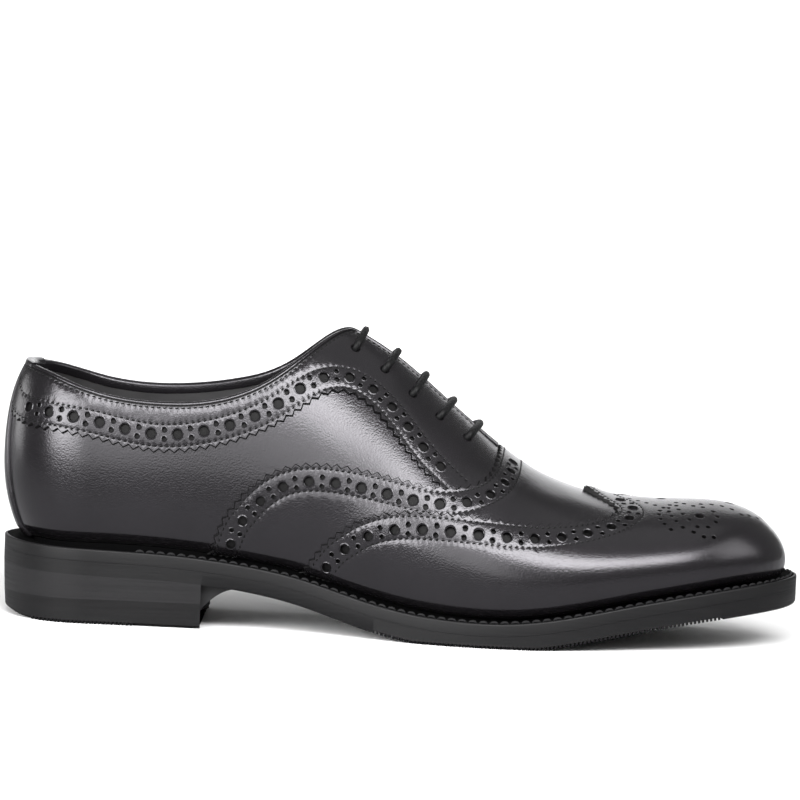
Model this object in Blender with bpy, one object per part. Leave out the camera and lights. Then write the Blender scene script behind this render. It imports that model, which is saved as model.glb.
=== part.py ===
"""Right shoe of a pair of black oxford full brogues, heel to toe along +X, lateral side towards -Y.

Every piece is worked out from one surface, the last: a foot-shaped form given by short tables of
sections. Lengths are millimetres until a mesh is made, which is in metres.
"""

import math

import bpy
import numpy as np

MM = 0.001
TINY = 1e-6
GAP = 0.3

# The last. The heel turns about an upright axis, and the sections in front of it stand across the shoe.
HEEL_AXIS_X = -118.0
HEEL_TURN_RADIUS = 34.0
BACK_SEAM = HEEL_AXIS_X - HEEL_TURN_RADIUS * math.pi / 2
TOE_TIP_X = 146.8
TOE_ROUND_X = 95.0
TOE_DROP_X = 110.0
TOE_SWELL, TOE_SWELL_UP = 1.2, 18.0
# How full the toe stays, and how blunt it ends, in plan and in profile.
TOE_PLAN = 2.6, 2.0
TOE_PROFILE = 2.4, 2.3
WIDEST_SHARE = 0.2
# Steps for slopes of the last, along it in millimetres and up its wall in shares.
SLOPE_STEP, SLOPE_SHARE = 0.2, 0.002
TIP_BLEND = 1.0
LATERAL, MEDIAL = -1, 1

# One row for each section: where it stands, the middle line, the half widths of the feather line where
# upper and welt meet, how far the wall swells beyond it and how high up, the rise to the ridge, how far
# the ridge leans to the medial side, and how peaked the section is, 1 being an ellipse.
LAST_COLUMNS = "x axis lateral medial swell_lateral swell_medial swell_up rise ridge peak"
LAST_ROWS = (
    (-118, 0.0, 30.7, 30.7, 3.0, 3.0, 21.0, 87.7, 0.0, 1.0),
    (-90, 0.0, 31.5, 30.0, 3.0, 3.5, 21.0, 91.3, 0.0, 1.0),
    (-60, 0.0, 31.0, 27.0, 3.5, 6.0, 22.0, 96.8, 0.0, 1.06),
    (-40, 0.0, 31.2, 25.0, 4.5, 8.0, 23.0, 98.2, 0.5, 1.16),
    (-22, 0.0, 34.0, 25.2, 4.5, 9.0, 23.0, 95.5, 1.0, 1.26),
    (-3, 0.2, 40.2, 28.8, 3.5, 8.0, 21.0, 88.7, 1.5, 1.3),
    (17, 0.6, 46.6, 34.2, 2.6, 5.0, 17.0, 75.0, 2.3, 1.26),
    (37, 1.2, 50.2, 39.3, 2.2, 3.0, 14.0, 59.7, 2.3, 1.1),
    (53, 1.8, 50.5, 42.2, 2.0, 2.4, 12.5, 48.6, 2.2, 1.0),
    (69, 2.4, 49.2, 42.4, 2.0, 2.2, 11.5, 40.9, 1.6, 1.0),
    (84, 2.9, 46.7, 39.7, 2.0, 2.0, 10.5, 35.3, 0.6, 1.0),
    (100, 3.4, 43.0, 35.6, 1.9, 1.9, 9.5, 31.6, 0.0, 1.0),
    (120, 3.8, 38.8, 31.7, 1.8, 1.8, 8.5, 29.0, 0.0, 1.0),
    (147, 4.0, 34.0, 27.5, 1.6, 1.6, 7.5, 28.0, 0.0, 1.0),
)
# The heel's back curve: height above the feather line, and reach behind the heel axis.
BACK_COLUMNS = "up reach"
BACK_ROWS = ((0, 26.3), (7, 29.6), (20, 33.2), (32, 34.0), (45, 33.3), (58, 30.6), (68.5, 25.6), (88, 9.0))

# The top of the welt, along the shoe.
BOTTOM_COLUMNS = "x top"
BOTTOM_ROWS = (
    (-152, 29.2), (-115, 30.0), (-90, 29.4), (-60, 26.4), (-37, 22.3), (-15, 16.4), (5, 12.3),
    (25, 10.4), (42, 10.2), (60, 12.0), (85, 16.8), (117, 22.6), (140, 25.7), (155, 27.0),
)


def spline(xs, ys, flat_start=False):
    """A smooth curve through the points, natural at its ends, or level at its first point."""
    xs, ys = np.asarray(xs, float), np.asarray(ys, float)
    step = np.diff(xs)
    slope = np.diff(ys) / step
    n = len(xs)
    system, right = np.eye(n), np.zeros(n)
    for i in range(1, n - 1):
        system[i, i - 1 : i + 2] = step[i - 1], 2 * (step[i - 1] + step[i]), step[i]
        right[i] = 6 * (slope[i] - slope[i - 1])
    if flat_start:
        system[0, :2] = 2 * step[0], step[0]
        right[0] = 6 * slope[0]
    bend = np.linalg.solve(system, right)

    def value(x):
        x = np.clip(x, xs[0], xs[-1])
        i = np.clip(np.searchsorted(xs, x) - 1, 0, n - 2)
        h, before, after = step[i], x - xs[i], xs[i + 1] - x
        cubic = (bend[i] * after**3 + bend[i + 1] * before**3) / (6 * h)
        return cubic + (ys[i] / h - bend[i] * h / 6) * after + (ys[i + 1] / h - bend[i + 1] * h / 6) * before

    return value


def splines(columns, rows, flat_start=False):
    """One smooth curve for each named column after the first, over the first."""
    values = list(zip(*rows))
    return {name: spline(values[0], values[i + 1], flat_start) for i, name in enumerate(columns.split()[1:])}


LAST = splines(LAST_COLUMNS, LAST_ROWS, flat_start=True)
BACK = splines(BACK_COLUMNS, BACK_ROWS)
BOTTOM = splines(BOTTOM_COLUMNS, BOTTOM_ROWS)


def toe_closing(x, start, fullness, bluntness):
    """1 along the foot, falling to 0 at the toe's tip in a round end."""
    along = np.clip((x - start) / (TOE_TIP_X - start), 0, 1)
    return np.clip(1 - along**fullness, 0, 1) ** (1 / bluntness)


def section(a, side):
    """The sizes of the section at station a, on one side."""
    x = np.maximum(a, HEEL_AXIS_X)
    turn = np.clip((HEEL_AXIS_X - a) / HEEL_TURN_RADIUS, 0, math.pi / 2)
    narrow = toe_closing(x, TOE_ROUND_X, *TOE_PLAN)
    low = toe_closing(x, TOE_DROP_X, *TOE_PROFILE)
    lateral = np.asarray(side) < 0
    swell = np.where(lateral, LAST["swell_lateral"](x), LAST["swell_medial"](x)) * narrow
    half = np.where(lateral, LAST["lateral"](x), LAST["medial"](x)) * narrow
    foot_x = x - BACK["reach"](0.0) * np.sin(turn)
    return {
        "x": x, "turn": turn, "swell": swell, "outer": half + swell, "axis": LAST["axis"](x),
        "ridge": LAST["ridge"](x) * narrow, "foot": BOTTOM["top"](foot_x) + GAP,
        "swell_up": LAST["swell_up"](x) * low, "rise": LAST["rise"](x) * low, "peak": LAST["peak"](x),
    }


def last_surface(a, t, side):
    """Points of the last. a runs from the back seam round the heel and along to the toe, and t from the
    feather line, 0, over the widest line to the ridge, 1."""
    a, t, side = np.broadcast_arrays(np.asarray(a, float), np.asarray(t, float), np.asarray(side, float))
    s = section(a, side)
    below = np.clip(1 - t / WIDEST_SHARE, 0, 1)
    round_up = np.clip((t - WIDEST_SHARE) / (1 - WIDEST_SHARE), 0, 1) * math.pi / 2
    up = s["swell_up"] * (1 - below) + (s["rise"] - s["swell_up"]) * np.sin(round_up)
    across = np.clip(np.cos(round_up), 0, 1) ** s["peak"]
    out = (s["outer"] - side * s["ridge"]) * across - s["swell"] * below**2
    front = np.clip((a - TOE_DROP_X) / (TOE_TIP_X - TOE_DROP_X), 0, 1) ** 2
    ahead = TOE_SWELL * front * np.sin(np.clip(up / TOE_SWELL_UP, 0, 1) * math.pi)
    x = s["x"] - BACK["reach"](up) * np.sin(s["turn"]) + ahead
    y = s["axis"] + s["ridge"] + side * out * np.cos(s["turn"])
    return np.stack([x, y, s["foot"] + up], axis=-1)


def one_sided_normal(a, t, side):
    """Outward normals of the last, from small steps on one side of it."""
    inside = np.minimum(a, TOE_TIP_X - 2 * SLOPE_STEP)
    along = last_surface(inside + SLOPE_STEP, t, side) - last_surface(inside - SLOPE_STEP, t, side)
    upward = last_surface(inside, np.minimum(t + SLOPE_SHARE, 1), side)
    upward = upward - last_surface(inside, np.maximum(t - SLOPE_SHARE, 0), side)
    normal = np.cross(along, upward) * -side[..., None]
    return normal / np.linalg.norm(normal, axis=-1, keepdims=True)


def last_normal(a, t, side):
    """Outward normals of the last, the same from both sides on the ridge and the back seam, and straight
    ahead at the toe's tip."""
    a, t, side = np.broadcast_arrays(np.asarray(a, float), np.asarray(t, float), np.asarray(side, float))
    normal = one_sided_normal(a, t, side)
    shared = ((t > 1 - TINY) | (a < BACK_SEAM + TINY))[..., None]
    normal = np.where(shared, normal + one_sided_normal(a, t, -side), normal)
    tip = np.clip((a - TOE_TIP_X) / TIP_BLEND + 1, 0, 1)[..., None]
    normal = normal / np.linalg.norm(normal, axis=-1, keepdims=True)
    normal = normal * (1 - tip) + np.array([1.0, 0, 0]) * tip
    return normal / np.linalg.norm(normal, axis=-1, keepdims=True)


# Runs along the shoe: the length of the lateral feather line from the back seam, and back to a station.
RUN_SAMPLES = 4000
_sample = np.linspace(0, 1, RUN_SAMPLES)
_stations = BACK_SEAM + (TOE_TIP_X - BACK_SEAM) * np.sin(_sample * math.pi / 2)
_line = last_surface(_stations, 0.0, LATERAL)
_runs = np.concatenate([[0.0], np.cumsum(np.linalg.norm(np.diff(_line, axis=0), axis=1))])
TOE_RUN = float(_runs[-1])


def run_of(a):
    """Length of the feather line from the back seam to station a."""
    return np.interp(a, _stations, _runs)


def station_of(run):
    """Station at a length along the feather line."""
    return np.interp(run, _runs, _stations)


# The station where the throat ends.
THROAT_END = 36.2
# Seams of the pattern, the same on both sides: station along the last, and share up its wall.
# The top edge runs from the back seam round the collar to the top of the facing.
TOP_EDGE_COLUMNS = "along lateral medial"
TOP_EDGE_ROWS = (
    (BACK_SEAM, 0.587, 0.587), (-140, 0.557, 0.56), (-118, 0.5, 0.51), (-90, 0.462, 0.48),
    (-64, 0.49, 0.506), (-42, 0.62, 0.612), (-28, 0.815, 0.81), (-20, 0.98, 0.98),
)
# The lower edge of the collar and facing panel, from the back stay forward to the vamp.
FACING_EDGE = (
    (-162, 0.41), (-130, 0.362), (-95, 0.316), (-70, 0.34), (-42, 0.45), (-30, 0.543), (-21, 0.584),
    (-8, 0.557), (5, 0.49), (12, 0.47),
)
# The back edge of the vamp, from the welt up and forward to the foot of the throat.
VAMP_EDGE = (
    (-72, 0.0), (-66, 0.16), (-55, 0.263), (-32, 0.347), (-2, 0.413), (20, 0.5), (31, 0.615), (35, 0.76),
    (THROAT_END, 1.0),
)
# The edge of the wing cap, from the welt forward to its valley and back to the peak on the ridge.
WING_EDGE = (
    (-37, 0.0), (-25.5, 0.16), (-8, 0.282), (28, 0.433), (60, 0.56), (75, 0.641), (82.3, 0.75), (77, 0.87),
    (70, 1.0),
)
# The edge of the back stay, from the welt up to the collar.
STAY_EDGE = ((-158, 0.0), (-160, 0.25), (-166, 0.6))
# Lace bars from the top down: station and share of the eyelet, and the station where it crosses the ridge.
LACE_BARS = ((-20, 0.79, -17.5), (-8.5, 0.77, -5), (2.5, 0.75, 6), (13, 0.75, 17), (24, 0.77, 27.5))
SHARE_SCALE = 100.0

# Thicknesses and lifts above the last's surface.
UPPER_WALL = 2.0
PANEL_GAP = 0.6
PANEL_FOOT_SHARE = 0.015
FACING_THICK = 0.9
VAMP_THICK = 1.0
WING_THICK = 1.4
STAY_THICK = 0.9
TONGUE_THICK = 2.0
TONGUE_TOP, TONGUE_FOOT, TONGUE_SHARE = -25.0, 46.0, 0.74
THROAT_HALF_GAP = 2.2
VAMP_REACH = 0.98
# The share of the facing's lower edge that is free, and how it clears the vamp, the stay and the throat.
FACING_FREE, SEAM_SHARE = 0.8, 0.012
FACING_VAMP_START, FACING_VAMP_END = 14.0, 35.0
STAY_CLEAR, THROAT_CLEAR = 1.0, 0.8
LACE_RADIUS = 1.25

# The sole: welt, outsole, heel. Depths are measured down from the welt's top.
WELT_THICK = 4.8
DEPTH_COLUMNS = "x depth"
DEPTH_ROWS = ((-150, 11.2), (-60, 11.2), (0, 11.9), (60, 11.2), (150, 11.2))
WELT_CHAMFER = 0.7
SOLE_CHAMFER = 1.2
SOLE_LIP, SOLE_LIP_DROP = 0.5, 1.0
WELT_INNER = -4.2
INSOLE_INSET = -2.7
INSOLE_PLUG_INSET = -4.6
INSOLE_THICK = 3.0
# How far the welt stands out beyond the feather line: station, lateral, medial.
EDGE_COLUMNS = "along lateral medial"
EDGE_ROWS = (
    (BACK_SEAM, 7.6, 7.6), (-140, 5.6, 5.6), (-118, 4.2, 4.2), (-60, 4.5, 3.6), (-20, 5.4, 4.0),
    (30, 6.0, 5.6), (80, 6.0, 6.0), (120, 6.3, 6.3), (TOE_TIP_X, 6.8, 6.8),
)
HEEL_BREAST_X = -74.0
HEEL_BREAST_BOW = 5.0
HEEL_TAPER = 1.0
HEEL_LIFT_BACK, HEEL_LIFT_FRONT = 8.4, 9.8
HEEL_BEVEL_START_X, HEEL_BEVEL_LENGTH, HEEL_BEVEL = -138.0, 14.0, 2.0

# Mesh steps.
SHOE_STEPS = 41
WALL_STEPS = 9
SOLE_STEPS = 40
INSOLE_STEPS = 28
HEEL_STEPS = 16
SOLE_ACROSS, HEEL_ACROSS = 2, 4
WING_LOW_STEPS, WING_PEAK_STEPS = 6, 3
WING_VALLEY_STEPS = 4
WING_FOOT_STEPS = (0.0, 2.0, 4.5, 8.0)
VAMP_ACROSS = 5
FACING_STEPS, FACING_ACROSS = 30, 6
STAY_STEPS, STAY_ACROSS = 8, 2
TONGUE_STEPS, TONGUE_ACROSS = 8, 4
LACE_STEPS = 8
LACE_SIDES = 6
# Least distances between stations that come from different rules.
STATION_CLEAR, VALLEY_CLEAR = 2.0, 1.0
# A direction that no lace bar runs along, to turn its rings from.
BAR_ASIDE = 1.0, 0.0, 0.6


def trace(points):
    """A smooth curve through rows of station and share, as a function of 0 to 1 along it."""
    runs = run_of(np.array([p[0] for p in points]))
    shares = np.array([p[1] for p in points])
    lengths = np.hypot(np.diff(runs), np.diff(shares) * SHARE_SCALE)
    at = np.concatenate([[0.0], np.cumsum(lengths)]) / lengths.sum()
    run_curve, share_curve = spline(at, runs), spline(at, shares)
    return lambda s: (run_curve(s), np.clip(share_curve(s), 0, 1))


def join(first, second, share):
    """Two traces end to end, the first taking the given share of the way."""

    def value(s):
        one, two = first(np.clip(s / share, 0, 1)), second(np.clip((s - share) / (1 - share), 0, 1))
        return tuple(np.where(s < share, one[i], two[i]) for i in range(2))

    return value


def stretch(edge, start, end):
    """The part of a trace between two stations."""
    s = np.linspace(0, 1, RUN_SAMPLES)
    first, last = np.interp(run_of(np.array([start, end])), edge(s)[0], s)
    return lambda share: edge(first + (last - first) * share)


def throat_share(a):
    """The share at which the facing's edge runs, a small way from the ridge."""
    s = section(a, LATERAL)
    reach = np.maximum(s["outer"] + s["ridge"], THROAT_HALF_GAP)
    across = (THROAT_HALF_GAP / reach) ** (1 / s["peak"])
    return WIDEST_SHARE + (1 - WIDEST_SHARE) * np.arccos(across) / (math.pi / 2)


TOP_EDGE = splines(TOP_EDGE_COLUMNS, TOP_EDGE_ROWS)
DEPTH = splines(DEPTH_COLUMNS, DEPTH_ROWS)
EDGE = splines(EDGE_COLUMNS, EDGE_ROWS)


def upper_top(a, side):
    """The share where the upper's wall ends: the collar, then the throat's edge, then the closed ridge."""
    collar = TOP_EDGE["lateral"](a) if side < 0 else TOP_EDGE["medial"](a)
    collar = np.where(a <= TOP_EDGE_ROWS[-1][0], collar, 1.0)
    return np.where(a >= THROAT_END - TINY, 1.0, np.minimum(collar, throat_share(a)))


# Mesh making

def grid_faces(rows, columns):
    """Quads of a grid of points numbered row by row."""
    i, j = np.meshgrid(np.arange(rows - 1), np.arange(columns - 1), indexing="ij")
    first = (i * columns + j).ravel()
    return np.stack([first, first + 1, first + columns + 1, first + columns], axis=1)


def weld(points, faces, keys):
    """Points that share a key become one, and faces that collapse are dropped."""
    _, keep, number = np.unique(np.round(keys, 3), axis=0, return_index=True, return_inverse=True)
    number = number.ravel()
    welded = []
    for face in faces:
        corners = list(dict.fromkeys(int(number[v]) for v in face))
        if len(corners) > 2:
            welded.append(corners)
    return [p[keep] for p in points], welded


def volume(points, faces):
    """Volume inside a closed skin, negative if its faces point inwards."""
    total = 0.0
    for face in faces:
        corner = points[face]
        for one, two in zip(corner[1:-1], corner[2:]):
            total += np.dot(corner[0], np.cross(one, two)) / 6
    return total


def make_object(name, points, faces, colour, roughness):
    """A mesh object from millimetre points, with doubles welded and its own material."""
    (points,), faces = weld([points], faces, points)
    if volume(points, faces) < 0:
        faces = [face[::-1] for face in faces]
    mesh = bpy.data.meshes.new(name)
    mesh.from_pydata((points * MM).tolist(), [], faces)
    material = bpy.data.materials.new(name)
    material.use_nodes = True
    shader = material.node_tree.nodes["Principled BSDF"]
    shader.inputs["Base Color"].default_value = (*colour, 1)
    shader.inputs["Roughness"].default_value = roughness
    mesh.materials.append(material)
    thing = bpy.data.objects.new(name, mesh)
    bpy.context.scene.collection.objects.link(thing)
    return thing


def thick_sheet(outer, inner, faces):
    """Closed skin of a sheet given by its outer and inner points and the outer faces."""
    edges = {}
    for face in faces:
        for one, two in zip(face, list(face[1:]) + [face[0]]):
            edges[(one, two)] = True
    count = len(outer)
    skin = [list(face) for face in faces] + [[v + count for v in face[::-1]] for face in faces]
    for one, two in edges:
        if (two, one) not in edges:
            skin.append([two, one, one + count, two + count])
    return np.concatenate([outer, inner]), skin


def split_quads(points, faces):
    """Each quad as two triangles, cut along its shorter diagonal."""
    triangles = []
    for face in faces:
        if len(face) == 3:
            triangles.append(face)
            continue
        one, two, three, four = face
        if np.linalg.norm(points[one] - points[three]) < np.linalg.norm(points[two] - points[four]):
            triangles += [[one, two, three], [one, three, four]]
        else:
            triangles += [[one, two, four], [two, three, four]]
    return triangles


def above_welt(points):
    """Points kept a gap above the welt."""
    floor = BOTTOM["top"](points[:, 0]) + GAP
    return np.concatenate([points[:, :2], np.maximum(points[:, 2], floor)[:, None]], axis=1)


def sheet_on_last(name, grids, low_lift, high_lift, sides, colour, roughness):
    """A sheet over each side's grids of stations and shares, between two lifts, as a solid."""
    outer, inner, keys, faces, start = [], [], [], [], 0
    for side, (a, t) in ((side, grid) for side in sides for grid in grids(side)):
        t = np.maximum(t, PANEL_FOOT_SHARE) if low_lift > 0 else t
        base = last_surface(a, t, side).reshape(-1, 3)
        normal = last_normal(a, t, side).reshape(-1, 3)
        quads = grid_faces(*a.shape) + start
        if side == LATERAL:
            quads = quads[:, ::-1]
        start += len(base)
        keys.append(base)
        outer.append(above_welt(base + normal * high_lift))
        inner.append(above_welt(base + normal * low_lift))
        faces += quads.tolist()
    parts, faces = weld([np.concatenate(outer), np.concatenate(inner)], faces, np.concatenate(keys))
    faces = split_quads(parts[0], faces)
    points, skin = thick_sheet(parts[0], parts[1], faces)
    return name, points, skin, colour, roughness


def between(one, two, s, k):
    """Stations and shares of a grid between two traces, at shares s along them and k across."""
    s, k = s[:, None], k[None, :]
    (run_one, share_one), (run_two, share_two) = one(s), two(s)
    return station_of(run_one + (run_two - run_one) * k), share_one + (share_two - share_one) * k


def loop(extra, steps, last_station=TOE_TIP_X):
    """Stations, and lateral and medial points in plan, of the feather line pushed out by a width."""
    a = station_of(np.linspace(0, run_of(last_station), steps + 1))
    sides = []
    for side in (LATERAL, MEDIAL):
        here = last_surface(a, 0.0, side)[:, :2]
        ahead = last_surface(np.minimum(a + SLOPE_STEP, TOE_TIP_X), 0.0, side)[:, :2]
        behind = last_surface(np.maximum(a - SLOPE_STEP, BACK_SEAM), 0.0, side)[:, :2]
        tangent = ahead - behind
        outward = np.stack([tangent[:, 1], -tangent[:, 0]], axis=1) * -side
        outward[a < BACK_SEAM + TINY] = -1, 0
        outward[a > TOE_TIP_X - TINY] = 1, 0
        outward /= np.linalg.norm(outward, axis=1, keepdims=True)
        width = extra(a, side) if callable(extra) else np.full_like(a, extra)
        sides.append(here + outward * width[:, None])
    return sides


def edge_width(added):
    """The welt's width beyond the feather line, with a little added."""
    return lambda a, side: EDGE["lateral" if side < 0 else "medial"](a) + added


def rungs(sides, height, bow=0.0):
    """Grid of points across a plan outline, at a height given by x, its last rung bowed back."""
    steps = HEEL_ACROSS if bow else SOLE_ACROSS
    share = np.linspace(0, 1, steps + 1)[None, :, None]
    plan = sides[0][:, None, :] * (1 - share) + sides[1][:, None, :] * share
    plan[-1, :, 0] -= bow * (1 - (2 * share[0, :, 0] - 1) ** 2)
    return np.concatenate([plan, height(plan[..., 0])[..., None]], axis=-1)


def grid_rim(rows, columns):
    """Numbers of a grid's outer points, in order round it."""
    left = [i * columns for i in range(rows)]
    far = [(rows - 1) * columns + j for j in range(1, columns)]
    right = [i * columns + columns - 1 for i in range(rows - 2, -1, -1)]
    near = [j for j in range(columns - 2, 0, -1)]
    return left + far + right + near


def stack_solid(name, layers, colour, roughness):
    """Solid between a top grid and a bottom grid, through the rims of any grids between them."""
    rows, columns = layers[0].shape[:2]
    rim = grid_rim(rows, columns)
    size = rows * columns
    points = np.concatenate([layer.reshape(-1, 3) for layer in layers])
    quads = grid_faces(rows, columns)
    faces = [q[::-1].tolist() for q in quads]
    faces += [(q + size * (len(layers) - 1)).tolist() for q in quads]
    for level in range(len(layers) - 1):
        upper_start, lower_start = level * size, (level + 1) * size
        for one, two in zip(rim, rim[1:] + rim[:1]):
            faces.append([two + upper_start, one + upper_start, one + lower_start, two + lower_start])
    return name, points, faces, colour, roughness


def ring_solid(name, profile, colour, roughness):
    """Solid ring round the shoe from closed loops given as the corners of its cross-section."""
    loops = []
    for sides, height in profile:
        plan = np.concatenate([sides[0], sides[1][-2:0:-1]])
        loops.append(np.concatenate([plan, height(plan[:, 0])[:, None]], axis=1))
    count, corners = len(loops[0]), len(loops)
    faces = []
    for c in range(corners):
        d = (c + 1) % corners
        for i in range(count):
            k = (i + 1) % count
            faces.append([c * count + i, c * count + k, d * count + k, d * count + i])
    return name, np.concatenate(loops), faces, colour, roughness


def tube(name, path, radius, sides, colour, roughness):
    """Round bar with flat ends along a path of points."""
    direction = np.gradient(path, axis=0)
    direction /= np.linalg.norm(direction, axis=1, keepdims=True)
    first = np.cross(direction, np.array(BAR_ASIDE))
    first /= np.linalg.norm(first, axis=1, keepdims=True)
    second = np.cross(direction, first)
    angle = np.arange(sides) * 2 * math.pi / sides
    ring = first[:, None] * np.cos(angle)[None, :, None] + second[:, None] * np.sin(angle)[None, :, None]
    points = (path[:, None] + ring * radius).reshape(-1, 3)
    faces = []
    for i in range(len(path) - 1):
        for j in range(sides):
            k = (j + 1) % sides
            faces.append([i * sides + j, i * sides + k, (i + 1) * sides + k, (i + 1) * sides + j])
    faces.append(list(range(sides))[::-1])
    faces.append([(len(path) - 1) * sides + j for j in range(sides)])
    return name, points, faces, colour, roughness


# Pieces

BLACK_LEATHER = (0.012, 0.011, 0.012), 0.35
LINING_LEATHER = (0.05, 0.048, 0.047), 0.6
RUBBER = (0.018, 0.018, 0.019), 0.7
GREY_RUBBER = (0.045, 0.045, 0.046), 0.75
CORD = (0.010, 0.010, 0.010), 0.6


def welt_top(x):
    return BOTTOM["top"](x)


def outsole_top(x):
    return welt_top(x) - WELT_THICK - GAP


def outsole_bottom(x):
    return np.maximum(welt_top(x) - DEPTH["depth"](x), 0.0)


def heel_split(x):
    """Height of the line between the heel stack and the top piece."""
    back = last_surface(BACK_SEAM, 0.0, LATERAL)[0]
    share = np.clip((x - back) / (HEEL_BREAST_X - back), 0, 1)
    return HEEL_LIFT_BACK + (HEEL_LIFT_FRONT - HEEL_LIFT_BACK) * share


def heel_floor(x):
    """The top piece is flat on the floor and lifts a little at the very back."""
    behind = np.clip((HEEL_BEVEL_START_X - x) / HEEL_BEVEL_LENGTH, 0, 1)
    return HEEL_BEVEL * behind**2


def level(height, drop):
    """A height function lowered by a drop."""
    return lambda x: height(x) - drop


def sole_pieces():
    lip, full = loop(edge_width(SOLE_LIP), SOLE_STEPS), loop(edge_width(0.0), SOLE_STEPS)
    tucked = loop(edge_width(SOLE_LIP - SOLE_CHAMFER), SOLE_STEPS)
    shoulder = loop(edge_width(-WELT_CHAMFER), SOLE_STEPS)
    inner = loop(WELT_INNER, SOLE_STEPS)
    yield stack_solid("outsole", [
        rungs(full, outsole_top), rungs(lip, level(outsole_top, SOLE_LIP_DROP)),
        rungs(lip, lambda x: outsole_bottom(x) + SOLE_CHAMFER), rungs(tucked, outsole_bottom),
    ], *RUBBER)
    yield ring_solid("welt", [
        (inner, welt_top), (shoulder, welt_top), (full, level(welt_top, WELT_CHAMFER)),
        (full, level(welt_top, WELT_THICK)), (inner, level(welt_top, WELT_THICK)),
    ], *RUBBER)
    seat, plug = loop(INSOLE_INSET, INSOLE_STEPS), loop(INSOLE_PLUG_INSET, INSOLE_STEPS)
    yield stack_solid("insole", [
        rungs(seat, level(welt_top, -GAP - INSOLE_THICK)), rungs(seat, level(welt_top, -GAP)),
        rungs(plug, level(welt_top, -GAP)), rungs(plug, level(outsole_top, -GAP)),
    ], *LINING_LEATHER)


def heel_pieces():
    steps = HEEL_STEPS
    top = loop(edge_width(0.0), steps, HEEL_BREAST_X)
    waist = loop(edge_width(-HEEL_TAPER / 2), steps, HEEL_BREAST_X)
    foot = loop(edge_width(-HEEL_TAPER), steps, HEEL_BREAST_X)
    tucked = loop(edge_width(-HEEL_TAPER - SOLE_CHAMFER / 2), steps, HEEL_BREAST_X)
    bow = HEEL_BREAST_BOW
    yield stack_solid("heel_stack", [
        rungs(top, level(outsole_bottom, GAP), bow), rungs(waist, level(heel_split, -GAP), bow),
    ], *GREY_RUBBER)
    yield stack_solid("heel_top_piece", [
        rungs(waist, heel_split, bow), rungs(foot, lambda x: heel_floor(x) + SOLE_CHAMFER / 2, bow),
        rungs(tucked, heel_floor, bow),
    ], *RUBBER)


def upper_stations():
    """Stations at equal runs from the back seam to the toe, one of them at the foot of the throat."""
    runs = np.linspace(0, TOE_RUN, SHOE_STEPS + 1)
    throat = run_of(THROAT_END)
    runs[np.argmin(np.abs(runs - throat))] = throat
    return station_of(runs)


def upper_grid(side):
    a = upper_stations()[:, None]
    t = upper_top(a, side) * np.linspace(0, 1, WALL_STEPS + 1)[None, :]
    return [(np.broadcast_to(a, t.shape), t)]


def upper_piece():
    yield sheet_on_last("upper", upper_grid, -UPPER_WALL, 0.0, (LATERAL, MEDIAL), *BLACK_LEATHER)


def tongue_piece():
    along = np.linspace(TONGUE_TOP, TONGUE_FOOT, TONGUE_STEPS + 1)
    up = np.linspace(TONGUE_SHARE, 1.0, TONGUE_ACROSS + 1)
    a, t = np.meshgrid(along, up, indexing="ij")
    high = -UPPER_WALL - PANEL_GAP
    both = (LATERAL, MEDIAL)
    yield sheet_on_last("tongue", lambda side: [(a, t)], high - TONGUE_THICK, high, both, *BLACK_LEATHER)


def clear_of(edge, share):
    """A trace moved up the wall by a small share, clear of the seam it follows."""
    return lambda s: (edge(s)[0], np.clip(edge(s)[1] + share, 0, 1))


def wing_and_vamp():
    """The wing cap, on the upper's own stations, and the vamp that ends along it."""
    both = (LATERAL, MEDIAL)
    edge = trace(WING_EDGE)
    s = np.linspace(0, 1, RUN_SAMPLES)
    a = station_of(edge(s)[0])
    valley = int(np.argmax(a))
    stations = upper_stations()
    near = np.linspace(a[valley] - WING_VALLEY_STEPS, a[valley], WING_VALLEY_STEPS)
    foot = a[0] + np.array(WING_FOOT_STEPS)
    before = stations < near[0] - VALLEY_CLEAR
    behind = np.concatenate([foot, stations[(stations > foot[-1] + STATION_CLEAR) & before], near])
    ahead = np.concatenate([[a[valley]], stations[stations > a[valley] + STATION_CLEAR]])
    peak = np.concatenate([[a[-1]], stations[(stations > a[-1] + STATION_CLEAR) & before], near])
    s_low = np.interp(behind, a[: valley + 1], s[: valley + 1])
    s_peak = np.interp(peak, a[valley:][::-1], s[valley:][::-1])
    share_low, share_peak = edge(s_low)[1], edge(s_peak)[1]
    step_low = np.linspace(0, 1, WING_LOW_STEPS + 1)
    step_peak = np.linspace(0, 1, WING_PEAK_STEPS + 1)
    wing = [behind[:, None] + 0 * step_low, share_low[:, None] * step_low]
    top = [peak[:, None] + 0 * step_peak, share_peak[:, None] + (1 - share_peak[:, None]) * step_peak]
    levels = np.concatenate([share_low[-1] * step_low, share_peak[-1] + (1 - share_peak[-1]) * step_peak[1:]])
    toe = np.meshgrid(ahead, levels, indexing="ij")
    grids = [wing, top, toe]
    high = PANEL_GAP + WING_THICK
    yield sheet_on_last("wing_cap", lambda side: grids, PANEL_GAP, high, both, *BLACK_LEATHER)
    along = np.concatenate([s_low, s_peak[-2::-1]])
    grid = between(trace(VAMP_EDGE), edge, along, np.linspace(0, VAMP_REACH, VAMP_ACROSS + 1))
    yield sheet_on_last("vamp", lambda side: [grid], PANEL_GAP, PANEL_GAP + VAMP_THICK, both, *BLACK_LEATHER)


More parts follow.
